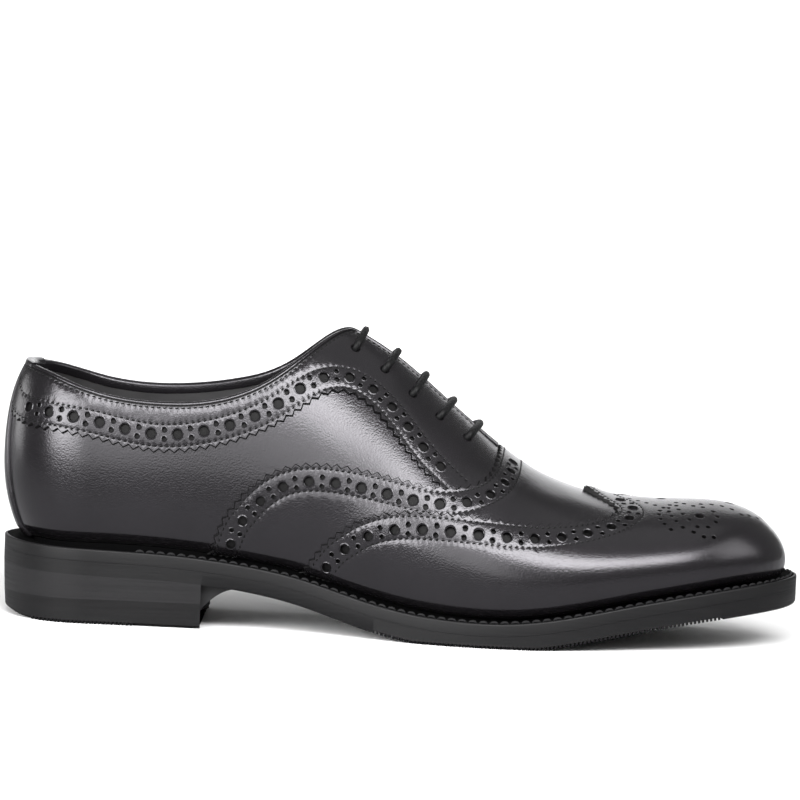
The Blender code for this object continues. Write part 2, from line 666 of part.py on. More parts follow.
def facing_grid(side):
    """The collar and facing panel, from its lower edge and the vamp's edge up to the top edge."""
    top_line = np.linspace(STAY_EDGE[-1][0] + STAY_CLEAR, THROAT_END - THROAT_CLEAR, FACING_STEPS * 2)
    top = trace([(a, float(upper_top(a, side))) for a in top_line])
    along_vamp = stretch(trace(VAMP_EDGE), FACING_VAMP_START, FACING_VAMP_END)
    bottom = join(trace(FACING_EDGE), clear_of(along_vamp, SEAM_SHARE), FACING_FREE)
    s, k = np.linspace(0, 1, FACING_STEPS + 1), np.linspace(0, 1, FACING_ACROSS + 1)
    return [between(bottom, top, s, k)]


def stay_grid(side):
    """The back stay, from the back seam out to its edge."""
    seam = trace([(BACK_SEAM, 0.0), (BACK_SEAM, TOP_EDGE_ROWS[0][1])])
    s, k = np.linspace(0, 1, STAY_STEPS + 1), np.linspace(0, 1, STAY_ACROSS + 1)
    return [between(seam, trace(STAY_EDGE), s, k)]


def facings_and_stay():
    """The collar and facing panel of each side, and the back stay between them."""
    top = PANEL_GAP + FACING_THICK
    for name, side in (("facing_lateral", LATERAL), ("facing_medial", MEDIAL)):
        yield sheet_on_last(name, facing_grid, PANEL_GAP, top, (side,), *BLACK_LEATHER)
    both = (LATERAL, MEDIAL)
    yield sheet_on_last("back_stay", stay_grid, PANEL_GAP, PANEL_GAP + STAY_THICK, both, *BLACK_LEATHER)


def lace_pieces():
    lift = PANEL_GAP + FACING_THICK + GAP + LACE_RADIUS
    for number, (eyelet, share, crossing) in enumerate(LACE_BARS, 1):
        k = np.linspace(0, 1, LACE_STEPS // 2 + 1)
        a, t = eyelet + (crossing - eyelet) * (1 - (1 - k) ** 2), share + (1 - share) * k
        half = [last_surface(a, t, side) + last_normal(a, t, side) * lift for side in (LATERAL, MEDIAL)]
        path = np.concatenate([half[0], half[1][-2::-1]])
        yield tube(f"lace_bar_{number}", path, LACE_RADIUS, LACE_SIDES, *CORD)


def main():
    for thing in list(bpy.data.objects):
        bpy.data.objects.remove(thing)
    pieces = []
    makers = sole_pieces, heel_pieces, upper_piece, tongue_piece, wing_and_vamp, facings_and_stay, lace_pieces
    for maker in makers:
        pieces += list(maker())
    everything = np.concatenate([piece[1] for piece in pieces])
    low, high = everything.min(axis=0), everything.max(axis=0)
    origin = np.array([(low[0] + high[0]) / 2, (low[1] + high[1]) / 2, 0.0])
    for name, points, faces, colour, roughness in pieces:
        make_object(name, points - origin, faces, colour, roughness)


if __name__ == "__main__":
    main()
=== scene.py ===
"""Looks of a right black oxford full brogue: leather panels with pinked edges, punched holes and stitches,
a welted rubber sole, lining and laces, on a white floor. Lengths are millimetres until a mesh is made."""

import math

import bpy
import numpy as np
from mathutils import Matrix, Vector
from mathutils.geometry import delaunay_2d_cdt
from mathutils.kdtree import KDTree


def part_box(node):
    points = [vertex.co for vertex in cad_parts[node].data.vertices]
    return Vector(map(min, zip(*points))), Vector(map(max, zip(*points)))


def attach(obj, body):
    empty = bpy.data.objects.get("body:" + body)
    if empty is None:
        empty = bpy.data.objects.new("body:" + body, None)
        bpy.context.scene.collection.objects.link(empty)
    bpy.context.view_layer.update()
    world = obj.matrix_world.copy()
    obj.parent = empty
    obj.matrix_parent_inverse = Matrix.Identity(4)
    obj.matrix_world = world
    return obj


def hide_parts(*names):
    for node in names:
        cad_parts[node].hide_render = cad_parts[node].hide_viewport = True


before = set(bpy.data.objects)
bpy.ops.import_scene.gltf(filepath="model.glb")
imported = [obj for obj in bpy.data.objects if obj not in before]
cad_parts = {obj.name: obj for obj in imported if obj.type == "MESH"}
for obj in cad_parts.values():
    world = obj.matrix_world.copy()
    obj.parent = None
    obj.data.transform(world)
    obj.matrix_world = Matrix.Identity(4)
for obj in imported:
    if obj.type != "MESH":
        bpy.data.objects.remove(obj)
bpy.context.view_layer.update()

MM = 0.001
TINY = 1e-6
GAP = 0.3

# The last, as in the solids. The heel turns about an upright axis, and the other sections stand across.
HEEL_AXIS_X = -118.0
HEEL_TURN_RADIUS = 34.0
BACK_SEAM = HEEL_AXIS_X - HEEL_TURN_RADIUS * math.pi / 2
TOE_TIP_X = 146.8
TOE_ROUND_X = 95.0
TOE_DROP_X = 110.0
TOE_SWELL, TOE_SWELL_UP = 1.2, 18.0
TOE_PLAN = 2.6, 2.0
TOE_PROFILE = 2.4, 2.3
WIDEST_SHARE = 0.2
SLOPE_STEP, SLOPE_SHARE = 0.2, 0.002
TIP_BLEND = 1.0
LATERAL, MEDIAL = SIDES = -1, 1
SIDE_NAMES = {LATERAL: "lateral", MEDIAL: "medial"}
LAST_COLUMNS = "x axis lateral medial swell_lateral swell_medial swell_up rise ridge peak"
LAST_ROWS = (
    (-118, 0.0, 30.7, 30.7, 3.0, 3.0, 21.0, 87.7, 0.0, 1.0),
    (-90, 0.0, 31.5, 30.0, 3.0, 3.5, 21.0, 91.3, 0.0, 1.0),
    (-60, 0.0, 31.0, 27.0, 3.5, 6.0, 22.0, 96.8, 0.0, 1.06),
    (-40, 0.0, 31.2, 25.0, 4.5, 8.0, 23.0, 98.2, 0.5, 1.16),
    (-22, 0.0, 34.0, 25.2, 4.5, 9.0, 23.0, 95.5, 1.0, 1.26),
    (-3, 0.2, 40.2, 28.8, 3.5, 8.0, 21.0, 88.7, 1.5, 1.3),
    (17, 0.6, 46.6, 34.2, 2.6, 5.0, 17.0, 75.0, 2.3, 1.26),
    (37, 1.2, 50.2, 39.3, 2.2, 3.0, 14.0, 59.7, 2.3, 1.1),
    (53, 1.8, 50.5, 42.2, 2.0, 2.4, 12.5, 48.6, 2.2, 1.0),
    (69, 2.4, 49.2, 42.4, 2.0, 2.2, 11.5, 40.9, 1.6, 1.0),
    (84, 2.9, 46.7, 39.7, 2.0, 2.0, 10.5, 35.3, 0.6, 1.0),
    (100, 3.4, 43.0, 35.6, 1.9, 1.9, 9.5, 31.6, 0.0, 1.0),
    (120, 3.8, 38.8, 31.7, 1.8, 1.8, 8.5, 29.0, 0.0, 1.0),
    (147, 4.0, 34.0, 27.5, 1.6, 1.6, 7.5, 28.0, 0.0, 1.0),
)
BACK_COLUMNS = "up reach"
BACK_ROWS = ((0, 26.3), (7, 29.6), (20, 33.2), (32, 34.0), (45, 33.3), (58, 30.6), (68.5, 25.6), (88, 9.0))
BOTTOM_COLUMNS = "x top"
BOTTOM_ROWS = (
    (-152, 29.2), (-115, 30.0), (-90, 29.4), (-60, 26.4), (-37, 22.3), (-15, 16.4), (5, 12.3),
    (25, 10.4), (42, 10.2), (60, 12.0), (85, 16.8), (117, 22.6), (140, 25.7), (155, 27.0),
)
# Seams of the pattern, as in the solids: station along the last, and share up its wall.
THROAT_END = 36.2
THROAT_HALF_GAP = 2.2
TOP_EDGE_COLUMNS = "along lateral medial"
TOP_EDGE_ROWS = (
    (BACK_SEAM, 0.587, 0.587), (-140, 0.557, 0.56), (-118, 0.5, 0.51), (-90, 0.462, 0.48),
    (-64, 0.49, 0.506), (-42, 0.62, 0.612), (-28, 0.815, 0.81), (-20, 0.98, 0.98),
)
FACING_EDGE = (
    (-162, 0.41), (-130, 0.362), (-95, 0.316), (-70, 0.34), (-42, 0.45), (-30, 0.543), (-21, 0.584),
    (-8, 0.557), (5, 0.49), (12, 0.47),
)
VAMP_EDGE = (
    (-72, 0.0), (-66, 0.16), (-55, 0.263), (-32, 0.347), (-2, 0.413), (20, 0.5), (31, 0.615), (35, 0.76),
    (THROAT_END, 1.0),
)
WING_EDGE = (
    (-37, 0.0), (-25.5, 0.16), (-8, 0.282), (28, 0.433), (60, 0.56), (75, 0.641), (82.3, 0.75), (77, 0.87),
    (70, 1.0),
)
STAY_EDGE = ((-158, 0.0), (-160, 0.25), (-166, 0.6))
LACE_BARS = ((-20, 0.79, -17.5), (-8.5, 0.77, -5), (2.5, 0.75, 6), (13, 0.75, 17), (24, 0.77, 27.5))
SHARE_SCALE = 100.0

# Lifts of the leather above the last's surface.
SHELL_LIFT, SHELL_INSIDE = 0.35, -2.0
FACING_LIFT, FACING_TUCKED_LIFT = 1.5, 0.95
VAMP_LIFT, VAMP_TUCKED_LIFT = 1.75, 1.15
WING_LIFT = 2.1
STAY_LIFT = 1.8
TUCK_LENGTH = 15.0
PANEL_BOTTOM = -0.4
PEAK_STATION, PEAK_RISE, PEAK_REACH = 70.0, 1.1, 14.0

# The sole, as in the solids, but for a narrower sock and a higher split at the back of the heel.
WELT_THICK, WELT_INNER = 4.8, -4.2
SOLE_CHAMFER, SOLE_LIP = 1.2, 0.5
INSOLE_INSET, INSOLE_THICK, INSOLE_BEVEL, INSOLE_BEVEL_DROP = -5.5, 3.0, 0.6, 0.5
DEPTH_COLUMNS = "x depth"
DEPTH_ROWS = ((-150, 11.2), (-60, 11.2), (0, 11.9), (60, 11.2), (150, 11.2))
EDGE_COLUMNS = "along lateral medial"
EDGE_ROWS = (
    (BACK_SEAM, 7.6, 7.6), (-140, 5.6, 5.6), (-118, 4.2, 4.2), (-60, 4.5, 3.6), (-20, 5.4, 4.0),
    (30, 6.0, 5.6), (80, 6.0, 6.0), (120, 6.3, 6.3), (TOE_TIP_X, 6.8, 6.8),
)
HEEL_BREAST_X, HEEL_BREAST_BOW = -74.0, 5.0
HEEL_TAPER = 1.0
HEEL_LIFT_BACK, HEEL_LIFT_FRONT = 9.5, 9.8
HEEL_BEVEL_START_X, HEEL_BEVEL_LENGTH, HEEL_BEVEL = -138.0, 14.0, 2.0


# The last's surface

def spline(xs, ys, flat_start=False):
    """A smooth curve through the points, natural at its ends, or level at its first point."""
    xs, ys = np.asarray(xs, float), np.asarray(ys, float)
    step = np.diff(xs)
    slope = np.diff(ys) / step
    n = len(xs)
    system, right = np.eye(n), np.zeros(n)
    for i in range(1, n - 1):
        system[i, i - 1 : i + 2] = step[i - 1], 2 * (step[i - 1] + step[i]), step[i]
        right[i] = 6 * (slope[i] - slope[i - 1])
    if flat_start:
        system[0, :2] = 2 * step[0], step[0]
        right[0] = 6 * slope[0]
    bend = np.linalg.solve(system, right)

    def value(x):
        x = np.clip(x, xs[0], xs[-1])
        i = np.clip(np.searchsorted(xs, x) - 1, 0, n - 2)
        h, before, after = step[i], x - xs[i], xs[i + 1] - x
        cubic = (bend[i] * after**3 + bend[i + 1] * before**3) / (6 * h)
        return cubic + (ys[i] / h - bend[i] * h / 6) * after + (ys[i + 1] / h - bend[i + 1] * h / 6) * before

    return value


def splines(columns, rows, flat_start=False):
    """One smooth curve for each named column after the first, over the first."""
    values = list(zip(*rows))
    return {name: spline(values[0], values[i + 1], flat_start) for i, name in enumerate(columns.split()[1:])}


def named(columns, rows):
    """Rows of a table by the names of its columns."""
    return [dict(zip(columns.split(), row)) for row in rows]


LAST = splines(LAST_COLUMNS, LAST_ROWS, flat_start=True)
BACK = splines(BACK_COLUMNS, BACK_ROWS)
BOTTOM = splines(BOTTOM_COLUMNS, BOTTOM_ROWS)
TOP_EDGE = splines(TOP_EDGE_COLUMNS, TOP_EDGE_ROWS)
DEPTH = splines(DEPTH_COLUMNS, DEPTH_ROWS)
EDGE = splines(EDGE_COLUMNS, EDGE_ROWS)


def toe_closing(x, start, fullness, bluntness):
    """1 along the foot, falling to 0 at the toe's tip in a round end."""
    along = np.clip((x - start) / (TOE_TIP_X - start), 0, 1)
    return np.clip(1 - along**fullness, 0, 1) ** (1 / bluntness)


def section(a, side):
    """The sizes of the section at station a, on one side."""
    x = np.maximum(a, HEEL_AXIS_X)
    turn = np.clip((HEEL_AXIS_X - a) / HEEL_TURN_RADIUS, 0, math.pi / 2)
    narrow = toe_closing(x, TOE_ROUND_X, *TOE_PLAN)
    low = toe_closing(x, TOE_DROP_X, *TOE_PROFILE)
    lateral = np.asarray(side) < 0
    swell = np.where(lateral, LAST["swell_lateral"](x), LAST["swell_medial"](x)) * narrow
    half = np.where(lateral, LAST["lateral"](x), LAST["medial"](x)) * narrow
    foot_x = x - BACK["reach"](0.0) * np.sin(turn)
    return {
        "x": x, "turn": turn, "swell": swell, "outer": half + swell, "axis": LAST["axis"](x),
        "ridge": LAST["ridge"](x) * narrow, "foot": BOTTOM["top"](foot_x) + GAP,
        "swell_up": LAST["swell_up"](x) * low, "rise": LAST["rise"](x) * low, "peak": LAST["peak"](x),
    }


def alike(*values):
    """Values as arrays of numbers of one shape."""
    return np.broadcast_arrays(*[np.asarray(value, float) for value in values])


def last_surface(a, t, side):
    """Points of the last. a runs from the back seam round the heel and along to the toe, and t from the
    feather line, 0, over the widest line to the ridge, 1."""
    a, t, side = alike(a, t, side)
    s = section(a, side)
    below = np.clip(1 - t / WIDEST_SHARE, 0, 1)
    round_up = np.clip((t - WIDEST_SHARE) / (1 - WIDEST_SHARE), 0, 1) * math.pi / 2
    up = s["swell_up"] * (1 - below) + (s["rise"] - s["swell_up"]) * np.sin(round_up)
    across = np.clip(np.cos(round_up), 0, 1) ** s["peak"]
    out = (s["outer"] - side * s["ridge"]) * across - s["swell"] * below**2
    front = np.clip((a - TOE_DROP_X) / (TOE_TIP_X - TOE_DROP_X), 0, 1) ** 2
    ahead = TOE_SWELL * front * np.sin(np.clip(up / TOE_SWELL_UP, 0, 1) * math.pi)
    x = s["x"] - BACK["reach"](up) * np.sin(s["turn"]) + ahead
    y = s["axis"] + s["ridge"] + side * out * np.cos(s["turn"])
    return np.stack([x, y, s["foot"] + up], axis=-1)


def unit(vectors):
    """Vectors scaled to length 1."""
    return vectors / np.maximum(np.linalg.norm(vectors, axis=-1, keepdims=True), TINY)


def one_sided_normal(a, t, side):
    """Outward normals of the last, from small steps on one side of it."""
    inside = np.minimum(a, TOE_TIP_X - 2 * SLOPE_STEP)
    along = last_surface(inside + SLOPE_STEP, t, side) - last_surface(inside - SLOPE_STEP, t, side)
    upward = last_surface(inside, np.minimum(t + SLOPE_SHARE, 1), side)
    upward = upward - last_surface(inside, np.maximum(t - SLOPE_SHARE, 0), side)
    return unit(np.cross(along, upward) * -side[..., None])


def last_normal(a, t, side):
    """Outward normals of the last, the same from both sides on the ridge and the back seam, and straight
    ahead at the toe's tip."""
    a, t, side = alike(a, t, side)
    normal = one_sided_normal(a, t, side)
    shared = ((t > 1 - TINY) | (a < BACK_SEAM + TINY))[..., None]
    normal = unit(np.where(shared, normal + one_sided_normal(a, t, -side), normal))
    tip = np.clip((a - TOE_TIP_X) / TIP_BLEND + 1, 0, 1)[..., None]
    return unit(normal * (1 - tip) + np.array([1.0, 0, 0]) * tip)


def lifted(a, t, side, lift):
    """Points of the last, lifted off it."""
    return last_surface(a, t, side) + last_normal(a, t, side) * np.asarray(lift)[..., None]


# Runs along the shoe: the length of the lateral feather line from the back seam, and back to a station.
RUN_SAMPLES, TRACE_SAMPLES = 4000, 1000
RUN_STATIONS = BACK_SEAM + (TOE_TIP_X - BACK_SEAM) * np.sin(np.linspace(0, 1, RUN_SAMPLES) * math.pi / 2)


def lengths_along(points):
    """Length from the first point to each point of a line."""
    return np.concatenate([[0.0], np.cumsum(np.linalg.norm(np.diff(points, axis=0), axis=1))])


RUNS = lengths_along(last_surface(RUN_STATIONS, 0.0, LATERAL))
TOE_RUN = float(RUNS[-1])


def run_of(a):
    """Length of the feather line from the back seam to station a."""
    return np.interp(a, RUN_STATIONS, RUNS)


def station_of(run):
    """Station at a length along the feather line."""
    return np.interp(run, RUNS, RUN_STATIONS)


def trace(points):
    """A smooth curve through rows of station and share, as a function of 0 to 1 along it."""
    stations, shares = np.array(points, float).T
    runs = run_of(stations)
    lengths = np.hypot(np.diff(runs), np.diff(shares) * SHARE_SCALE)
    at = np.concatenate([[0.0], np.cumsum(lengths)]) / lengths.sum()
    run_curve, share_curve = spline(at, runs), spline(at, shares)
    return lambda s: (run_curve(s), np.clip(share_curve(s), 0, 1))


def throat_share(a):
    """The share at which the facing's edge runs, a small way from the ridge."""
    s = section(a, LATERAL)
    reach = np.maximum(s["outer"] + s["ridge"], THROAT_HALF_GAP)
    across = (THROAT_HALF_GAP / reach) ** (1 / s["peak"])
    return WIDEST_SHARE + (1 - WIDEST_SHARE) * np.arccos(across) / (math.pi / 2)


def upper_top(a, side):
    """The share where the upper's wall ends: the collar, then the throat's edge, then the closed ridge."""
    collar = np.where(a <= TOP_EDGE_ROWS[-1][0], TOP_EDGE[SIDE_NAMES[side]](a), 1.0)
    return np.where(a >= THROAT_END - TINY, 1.0, np.minimum(collar, throat_share(a)))


# The chart: the last's wall laid out flat, run along and length down from the ridge, lateral side below 0.
WALL_SAMPLES = 60
CHART_STEP, LINE_STEP, FOOT_STEP = 0.05, 0.5, 1.5
SMALLEST_AREA = 0.02
RIDGE_CLEAR = 0.05
BAND_WIDTH, BAND_STEP = 13.0, 0.5
TOOTH_PITCH, TOOTH_DEPTH, TOOTH_POINTS = 4.0, 1.5, 6


def wall_lengths():
    """Mean length of the wall from feather line to ridge, at even runs."""
    runs = np.linspace(0, TOE_RUN, TRACE_SAMPLES)
    shares = np.linspace(0, 1, WALL_SAMPLES)
    total = 0.0
    for side in SIDES:
        wall = last_surface(station_of(runs)[:, None], shares[None, :], side)
        total = total + np.linalg.norm(np.diff(wall, axis=1), axis=2).sum(axis=1) / 2
    return runs, np.maximum(total, TINY)


WALL_RUNS, WALLS = wall_lengths()


def to_chart(run, share, side):
    """Chart points from runs and shares."""
    return np.stack([run, side * (1 - share) * np.interp(run, WALL_RUNS, WALLS)], axis=-1)


def from_chart(points):
    """Stations, shares and sides of chart points."""
    run = np.clip(points[..., 0], 0, TOE_RUN)
    share = 1 - np.abs(points[..., 1]) / np.interp(run, WALL_RUNS, WALLS)
    return station_of(run), np.clip(share, 0, 1), np.where(points[..., 1] > 0, MEDIAL, LATERAL)


def on_last(points, lift=0.0):
    """Chart points on the last, lifted off it."""
    where = from_chart(points)
    return lifted(*where, lift) if np.ndim(lift) or lift else last_surface(*where)


def normals_at(points):
    return last_normal(*from_chart(points))


def chart_slopes(points):
    """How the last's points move for steps along and across the chart."""
    steps = np.eye(2) * CHART_STEP
    return [(on_last(points + step) - on_last(points - step)) / (2 * CHART_STEP) for step in steps]


def chart_move(points, move):
    """The chart step that makes a small move on the last."""
    along, across = chart_slopes(points)
    aa, ab, bb = (along * along).sum(-1), (along * across).sum(-1), (across * across).sum(-1)
    ma, mb = (along * move).sum(-1), (across * move).sum(-1)
    size = np.maximum(aa * bb - ab * ab, SMALLEST_AREA)
    return np.stack([(bb * ma - ab * mb) / size, (aa * mb - ab * ma) / size], axis=-1)


def chart_line(edge, side, first=0.0, last=1.0):
    """A trace as chart points, evenly close together on the last."""
    run, share = edge(np.linspace(first, last, TRACE_SAMPLES))
    return even(to_chart(run, share, side), LINE_STEP)


def even(line, step):
    """A chart line sampled again at even lengths on the last."""
    length = lengths_along(on_last(line))[-1]
    return spread(line, 0.0, 0.0, max(2, int(round(length / step)) + 1))


def sampled(points, at, want):
    """Points of a line at wanted lengths, from the lengths of its own points."""
    return np.stack([np.interp(want, at, column) for column in points.T], axis=1)


def spread(line, first, last, count):
    """Even places on a chart line, from a length after its start to a length before its end."""
    at = lengths_along(on_last(line))
    return sampled(line, at, np.linspace(first, at[-1] - last, count))


class Band:
    """A strip along a seam's chart line: lengths along it and widths in from it, as chart points."""

    def __init__(self, line, inward):
        points, normal = on_last(line), normals_at(line)
        across = np.cross(normal, unit(np.gradient(points, axis=0))) * inward
        rows = [line]
        for _ in range(int(BAND_WIDTH / BAND_STEP)):
            rows.append(rows[-1] + chart_move(rows[-1], across * BAND_STEP))
        self.grid = np.stack(rows, axis=1)
        self.length = lengths_along(points)[-1]

    def at(self, along, width):
        """Chart points at lengths along the seam and widths in from it."""
        rows, columns = self.grid.shape[:2]
        i = np.clip(along / self.length, 0, 1) * (rows - 1)
        j = np.clip(width / BAND_STEP, 0, columns - 1)
        i0, j0 = np.minimum(i.astype(int), rows - 2), np.minimum(j.astype(int), columns - 2)
        fi, fj = (i - i0)[:, None], (j - j0)[:, None]
        near = self.grid[i0, j0] * (1 - fj) + self.grid[i0, j0 + 1] * fj
        far = self.grid[i0 + 1, j0] * (1 - fj) + self.grid[i0 + 1, j0 + 1] * fj
        return near * (1 - fi) + far * fi

    def line(self, width, side=None):
        """The line at one width, kept to its own side of the ridge."""
        along = np.linspace(0, self.length, int(self.length / LINE_STEP))
        points = self.at(along, np.full_like(along, width))
        if side is not None:
            points = points[points[:, 1] * side > RIDGE_CLEAR]
        return points

    def teeth(self, inset):
        """The pinked edge, or the line inside it by an inset."""
        count = int(round(self.length / TOOTH_PITCH))
        along = np.linspace(0, self.length, count * TOOTH_POINTS + 1)
        phase = along / self.length * count % 1
        return self.at(along, TOOTH_DEPTH * (1 - np.abs(2 * phase - 1)) + inset)


# Mesh making

SHARP_ANGLE = math.radians(38)
SOLE_OUTLINE_STEPS = 40
WELD_DIGITS = 3


def loop(extra, steps, last_station=TOE_TIP_X):
    """Lateral and medial points in plan of the feather line pushed out by a width."""
    a = station_of(np.linspace(0, run_of(last_station), steps + 1))
    sides = []
    for side in SIDES:
        here = last_surface(a, 0.0, side)[:, :2]
        ahead = last_surface(np.minimum(a + SLOPE_STEP, TOE_TIP_X), 0.0, side)[:, :2]
        behind = last_surface(np.maximum(a - SLOPE_STEP, BACK_SEAM), 0.0, side)[:, :2]
        tangent = ahead - behind
        outward = np.stack([tangent[:, 1], -tangent[:, 0]], axis=1) * -side
        outward[a < BACK_SEAM + TINY] = -1, 0
        outward[a > TOE_TIP_X - TINY] = 1, 0
        width = extra(a, side) if callable(extra) else np.full_like(a, extra)
        sides.append(here + unit(outward) * width[:, None])
    return sides


def edge_width(added):
    """The welt's width beyond the feather line, with a little added."""
    return lambda a, side: EDGE[SIDE_NAMES[side]](a) + added


def frame_origin():
    """Where the frame's origin lies on the last, from the outsole's box."""
    plan = np.concatenate(loop(edge_width(SOLE_LIP), SOLE_OUTLINE_STEPS))
    middle = (plan.min(axis=0) + plan.max(axis=0)) / 2
    low, high = (np.array(corner)[:2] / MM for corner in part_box("outsole"))
    return np.array([*(middle - (low + high) / 2), 0.0])


ORIGIN = frame_origin()


def linked(name, data):
    """A new object of the scene."""
    thing = bpy.data.objects.new(name, data)
    bpy.context.scene.collection.objects.link(thing)
    return thing


def piece(name, points, faces, materials, slot, replaces=(), picks=None, sharp=SHARP_ANGLE):
    """A shaded mesh from millimetre points that rides on the shoe. picks gives each face's material."""
    mesh = bpy.data.meshes.new(name)
    mesh.from_pydata(((points - ORIGIN) * MM).tolist(), [], [list(map(int, face)) for face in faces])
    for material in materials:
        mesh.materials.append(material)
    if picks is not None:
        mesh.polygons.foreach_set("material_index", np.asarray(picks, np.int32))
    mesh.shade_smooth()
    mesh.set_sharp_from_angle(angle=sharp)
    thing = linked(name, mesh)
    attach(thing, "root")
    if replaces:
        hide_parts(*replaces)
    return thing


def turns(count):
    """Angles of even steps once round."""
    return np.arange(count) * 2 * math.pi / count


def grid_faces(rows, columns, closed=False, ring=False):
    """Quads of a grid of points numbered row by row, its columns, or its rows too, joined end to end."""
    number = np.arange(rows * columns).reshape(rows, columns)
    if closed:
        number = np.concatenate([number, number[:, :1]], axis=1)
    if ring:
        number = np.concatenate([number, number[:1]])
    corners = number[:-1, :-1], number[:-1, 1:], number[1:, 1:], number[1:, :-1]
    return np.stack(corners, axis=-1).reshape(-1, 4)


def tube_faces(rows, columns):
    """Quads round a tube of points numbered row by row, and its two ends."""
    ends = [list(range(columns))[::-1], list(range((rows - 1) * columns, rows * columns))]
    return grid_faces(rows, columns, closed=True).tolist() + ends


def copies(points, faces, places, axes):
    """Copies of a small mesh at places, its points measured along each place's three axes."""
    made = places[:, None, :] + np.einsum("pk,nkc->npc", points, axes)
    numbers = np.arange(len(places))[:, None] * len(points)
    return made.reshape(-1, 3), [list(face + n) for n in numbers[:, 0] for face in map(np.array, faces)]


def joined(meshes):
    """Several meshes as one."""
    points, faces, start = [], [], 0
    for some_points, some_faces in meshes:
        points.append(some_points)
        faces += [[v + start for v in face] for face in some_faces]
        start += len(some_points)
    return np.concatenate(points), faces


def weld(points, faces):
    """Points in the same place become one. Faces that collapse are dropped, and the kept ones numbered."""
    places = np.round(points, WELD_DIGITS)
    _, keep, number = np.unique(places, axis=0, return_index=True, return_inverse=True)
    number = number.ravel()
    welded, kept = [], []
    for i, face in enumerate(faces):
        corners = list(dict.fromkeys(int(number[v]) for v in face))
        if len(corners) > 2:
            welded.append(corners)
            kept.append(i)
    return points[keep], welded, kept


# Leather panels

FILL_STEP, COARSE_STEP = 1.7, 4.5
FILL_CLEAR = 0.62
EDGE_ROUND, EDGE_INSET = 0.45, 0.42
# Rings of the punched holes, outermost first: radius and drop below the leather, a lip being above it.
BIG_HOLE = ((2.7, 0.0), (2.35, 0.0), (2.07, -0.22), (1.84, -0.06), (1.7, 1.8))
SMALL_HOLE = ((1.35, 0.0), (1.2, 0.0), (1.02, -0.1), (0.88, 0.0), (0.78, 1.8))
TOE_HOLE = ((2.3, 0.0), (1.95, 0.0), (1.75, 0.1), (1.65, 1.8))
PIN_HOLE = ((1.25, 0.0), (1.0, 0.0), (0.85, 0.08), (0.75, 1.8))
EYELET = ((2.3, 0.0), (1.95, 0.0), (1.7, 0.1), (1.5, 0.5), (1.4, 1.6))
HOLE_DEEP, HOLE_CLEAR, FLOOR_CLEAR = 0.4, 3.4, 0.12
HOLE_SIDES = 20
INSIDE_ONLY, MERGE = 1, 1e-7


def triangulate(points, edges):
    """Triangles between chart points that keep the edges, with the input number of each corner."""
    made = delaunay_2d_cdt([Vector(p) for p in points.tolist()], edges, [], INSIDE_ONLY, MERGE)
    used = sorted({v for face in made[2] for v in face})
    renumber = {v: i for i, v in enumerate(used)}
    corners = np.array([made[0][v][:] for v in used])
    source = np.array([made[3][v][0] if made[3][v] else -1 for v in used])
    place = {number: renumber[v] for v in used for number in made[3][v]}
    return corners, [[renumber[v] for v in face] for face in made[2]], source, place


def smooth_step(x):
    x = np.clip(x, 0, 1)
    return x * x * (3 - 2 * x)


def tree_of(line):
    """A search tree of chart points."""
    tree = KDTree(len(line))
    for i, p in enumerate(line.tolist()):
        tree.insert((*p, 0.0), i)
    tree.balance()
    return tree


def distances(tree, points):
    """How far each chart point is from the nearest point of a tree."""
    return np.array([tree.find((*p, 0.0))[2] for p in points.tolist()])


def lift_by(line, near, far, length):
    """A lift that goes from one value on a chart line to another some way from it."""
    tree = tree_of(line)
    return lambda points: near + (far - near) * smooth_step(distances(tree, points) / length)


def level_lift(value):
    return lambda points: np.full(len(points), value)


# Near the welt the leather is drawn in, within a height, by a depth, along a curve with a power, and less at
# the back seam and the toe's tip.
FEATHER_REACH, FEATHER_PULL, FEATHER_POWER = 5.0, 2.8, 1.15
FEATHER_LINES, FEATHER_STEP = (1.2, 2.6, 3.8, 4.5, 5.0, 5.6), 2.0
PULL_STATIONS, PULL_SHARES = (BACK_SEAM, -150.0, 128.0, TOE_TIP_X), (0.2, 1.0, 1.0, 0.2)


def feather_pull(a, t, side):
    """How far the leather is drawn in at stations and shares."""
    height = last_surface(a, t, side)[..., 2] - section(a, side)["foot"]
    low = np.clip(1 - height / FEATHER_REACH, 0, 1)
    return FEATHER_PULL * np.interp(a, PULL_STATIONS, PULL_SHARES) * low**FEATHER_POWER


def drawn_in(lift):
    """A lift that falls towards the feather line."""
    return lambda points: lift(points) - feather_pull(*from_chart(points))


HOLE_FLOOR = drawn_in(level_lift(SHELL_LIFT + FLOOR_CLEAR))
LEATHER_PICK, FLOOR_PICK, UNDER_PICK = 0, 1, 2


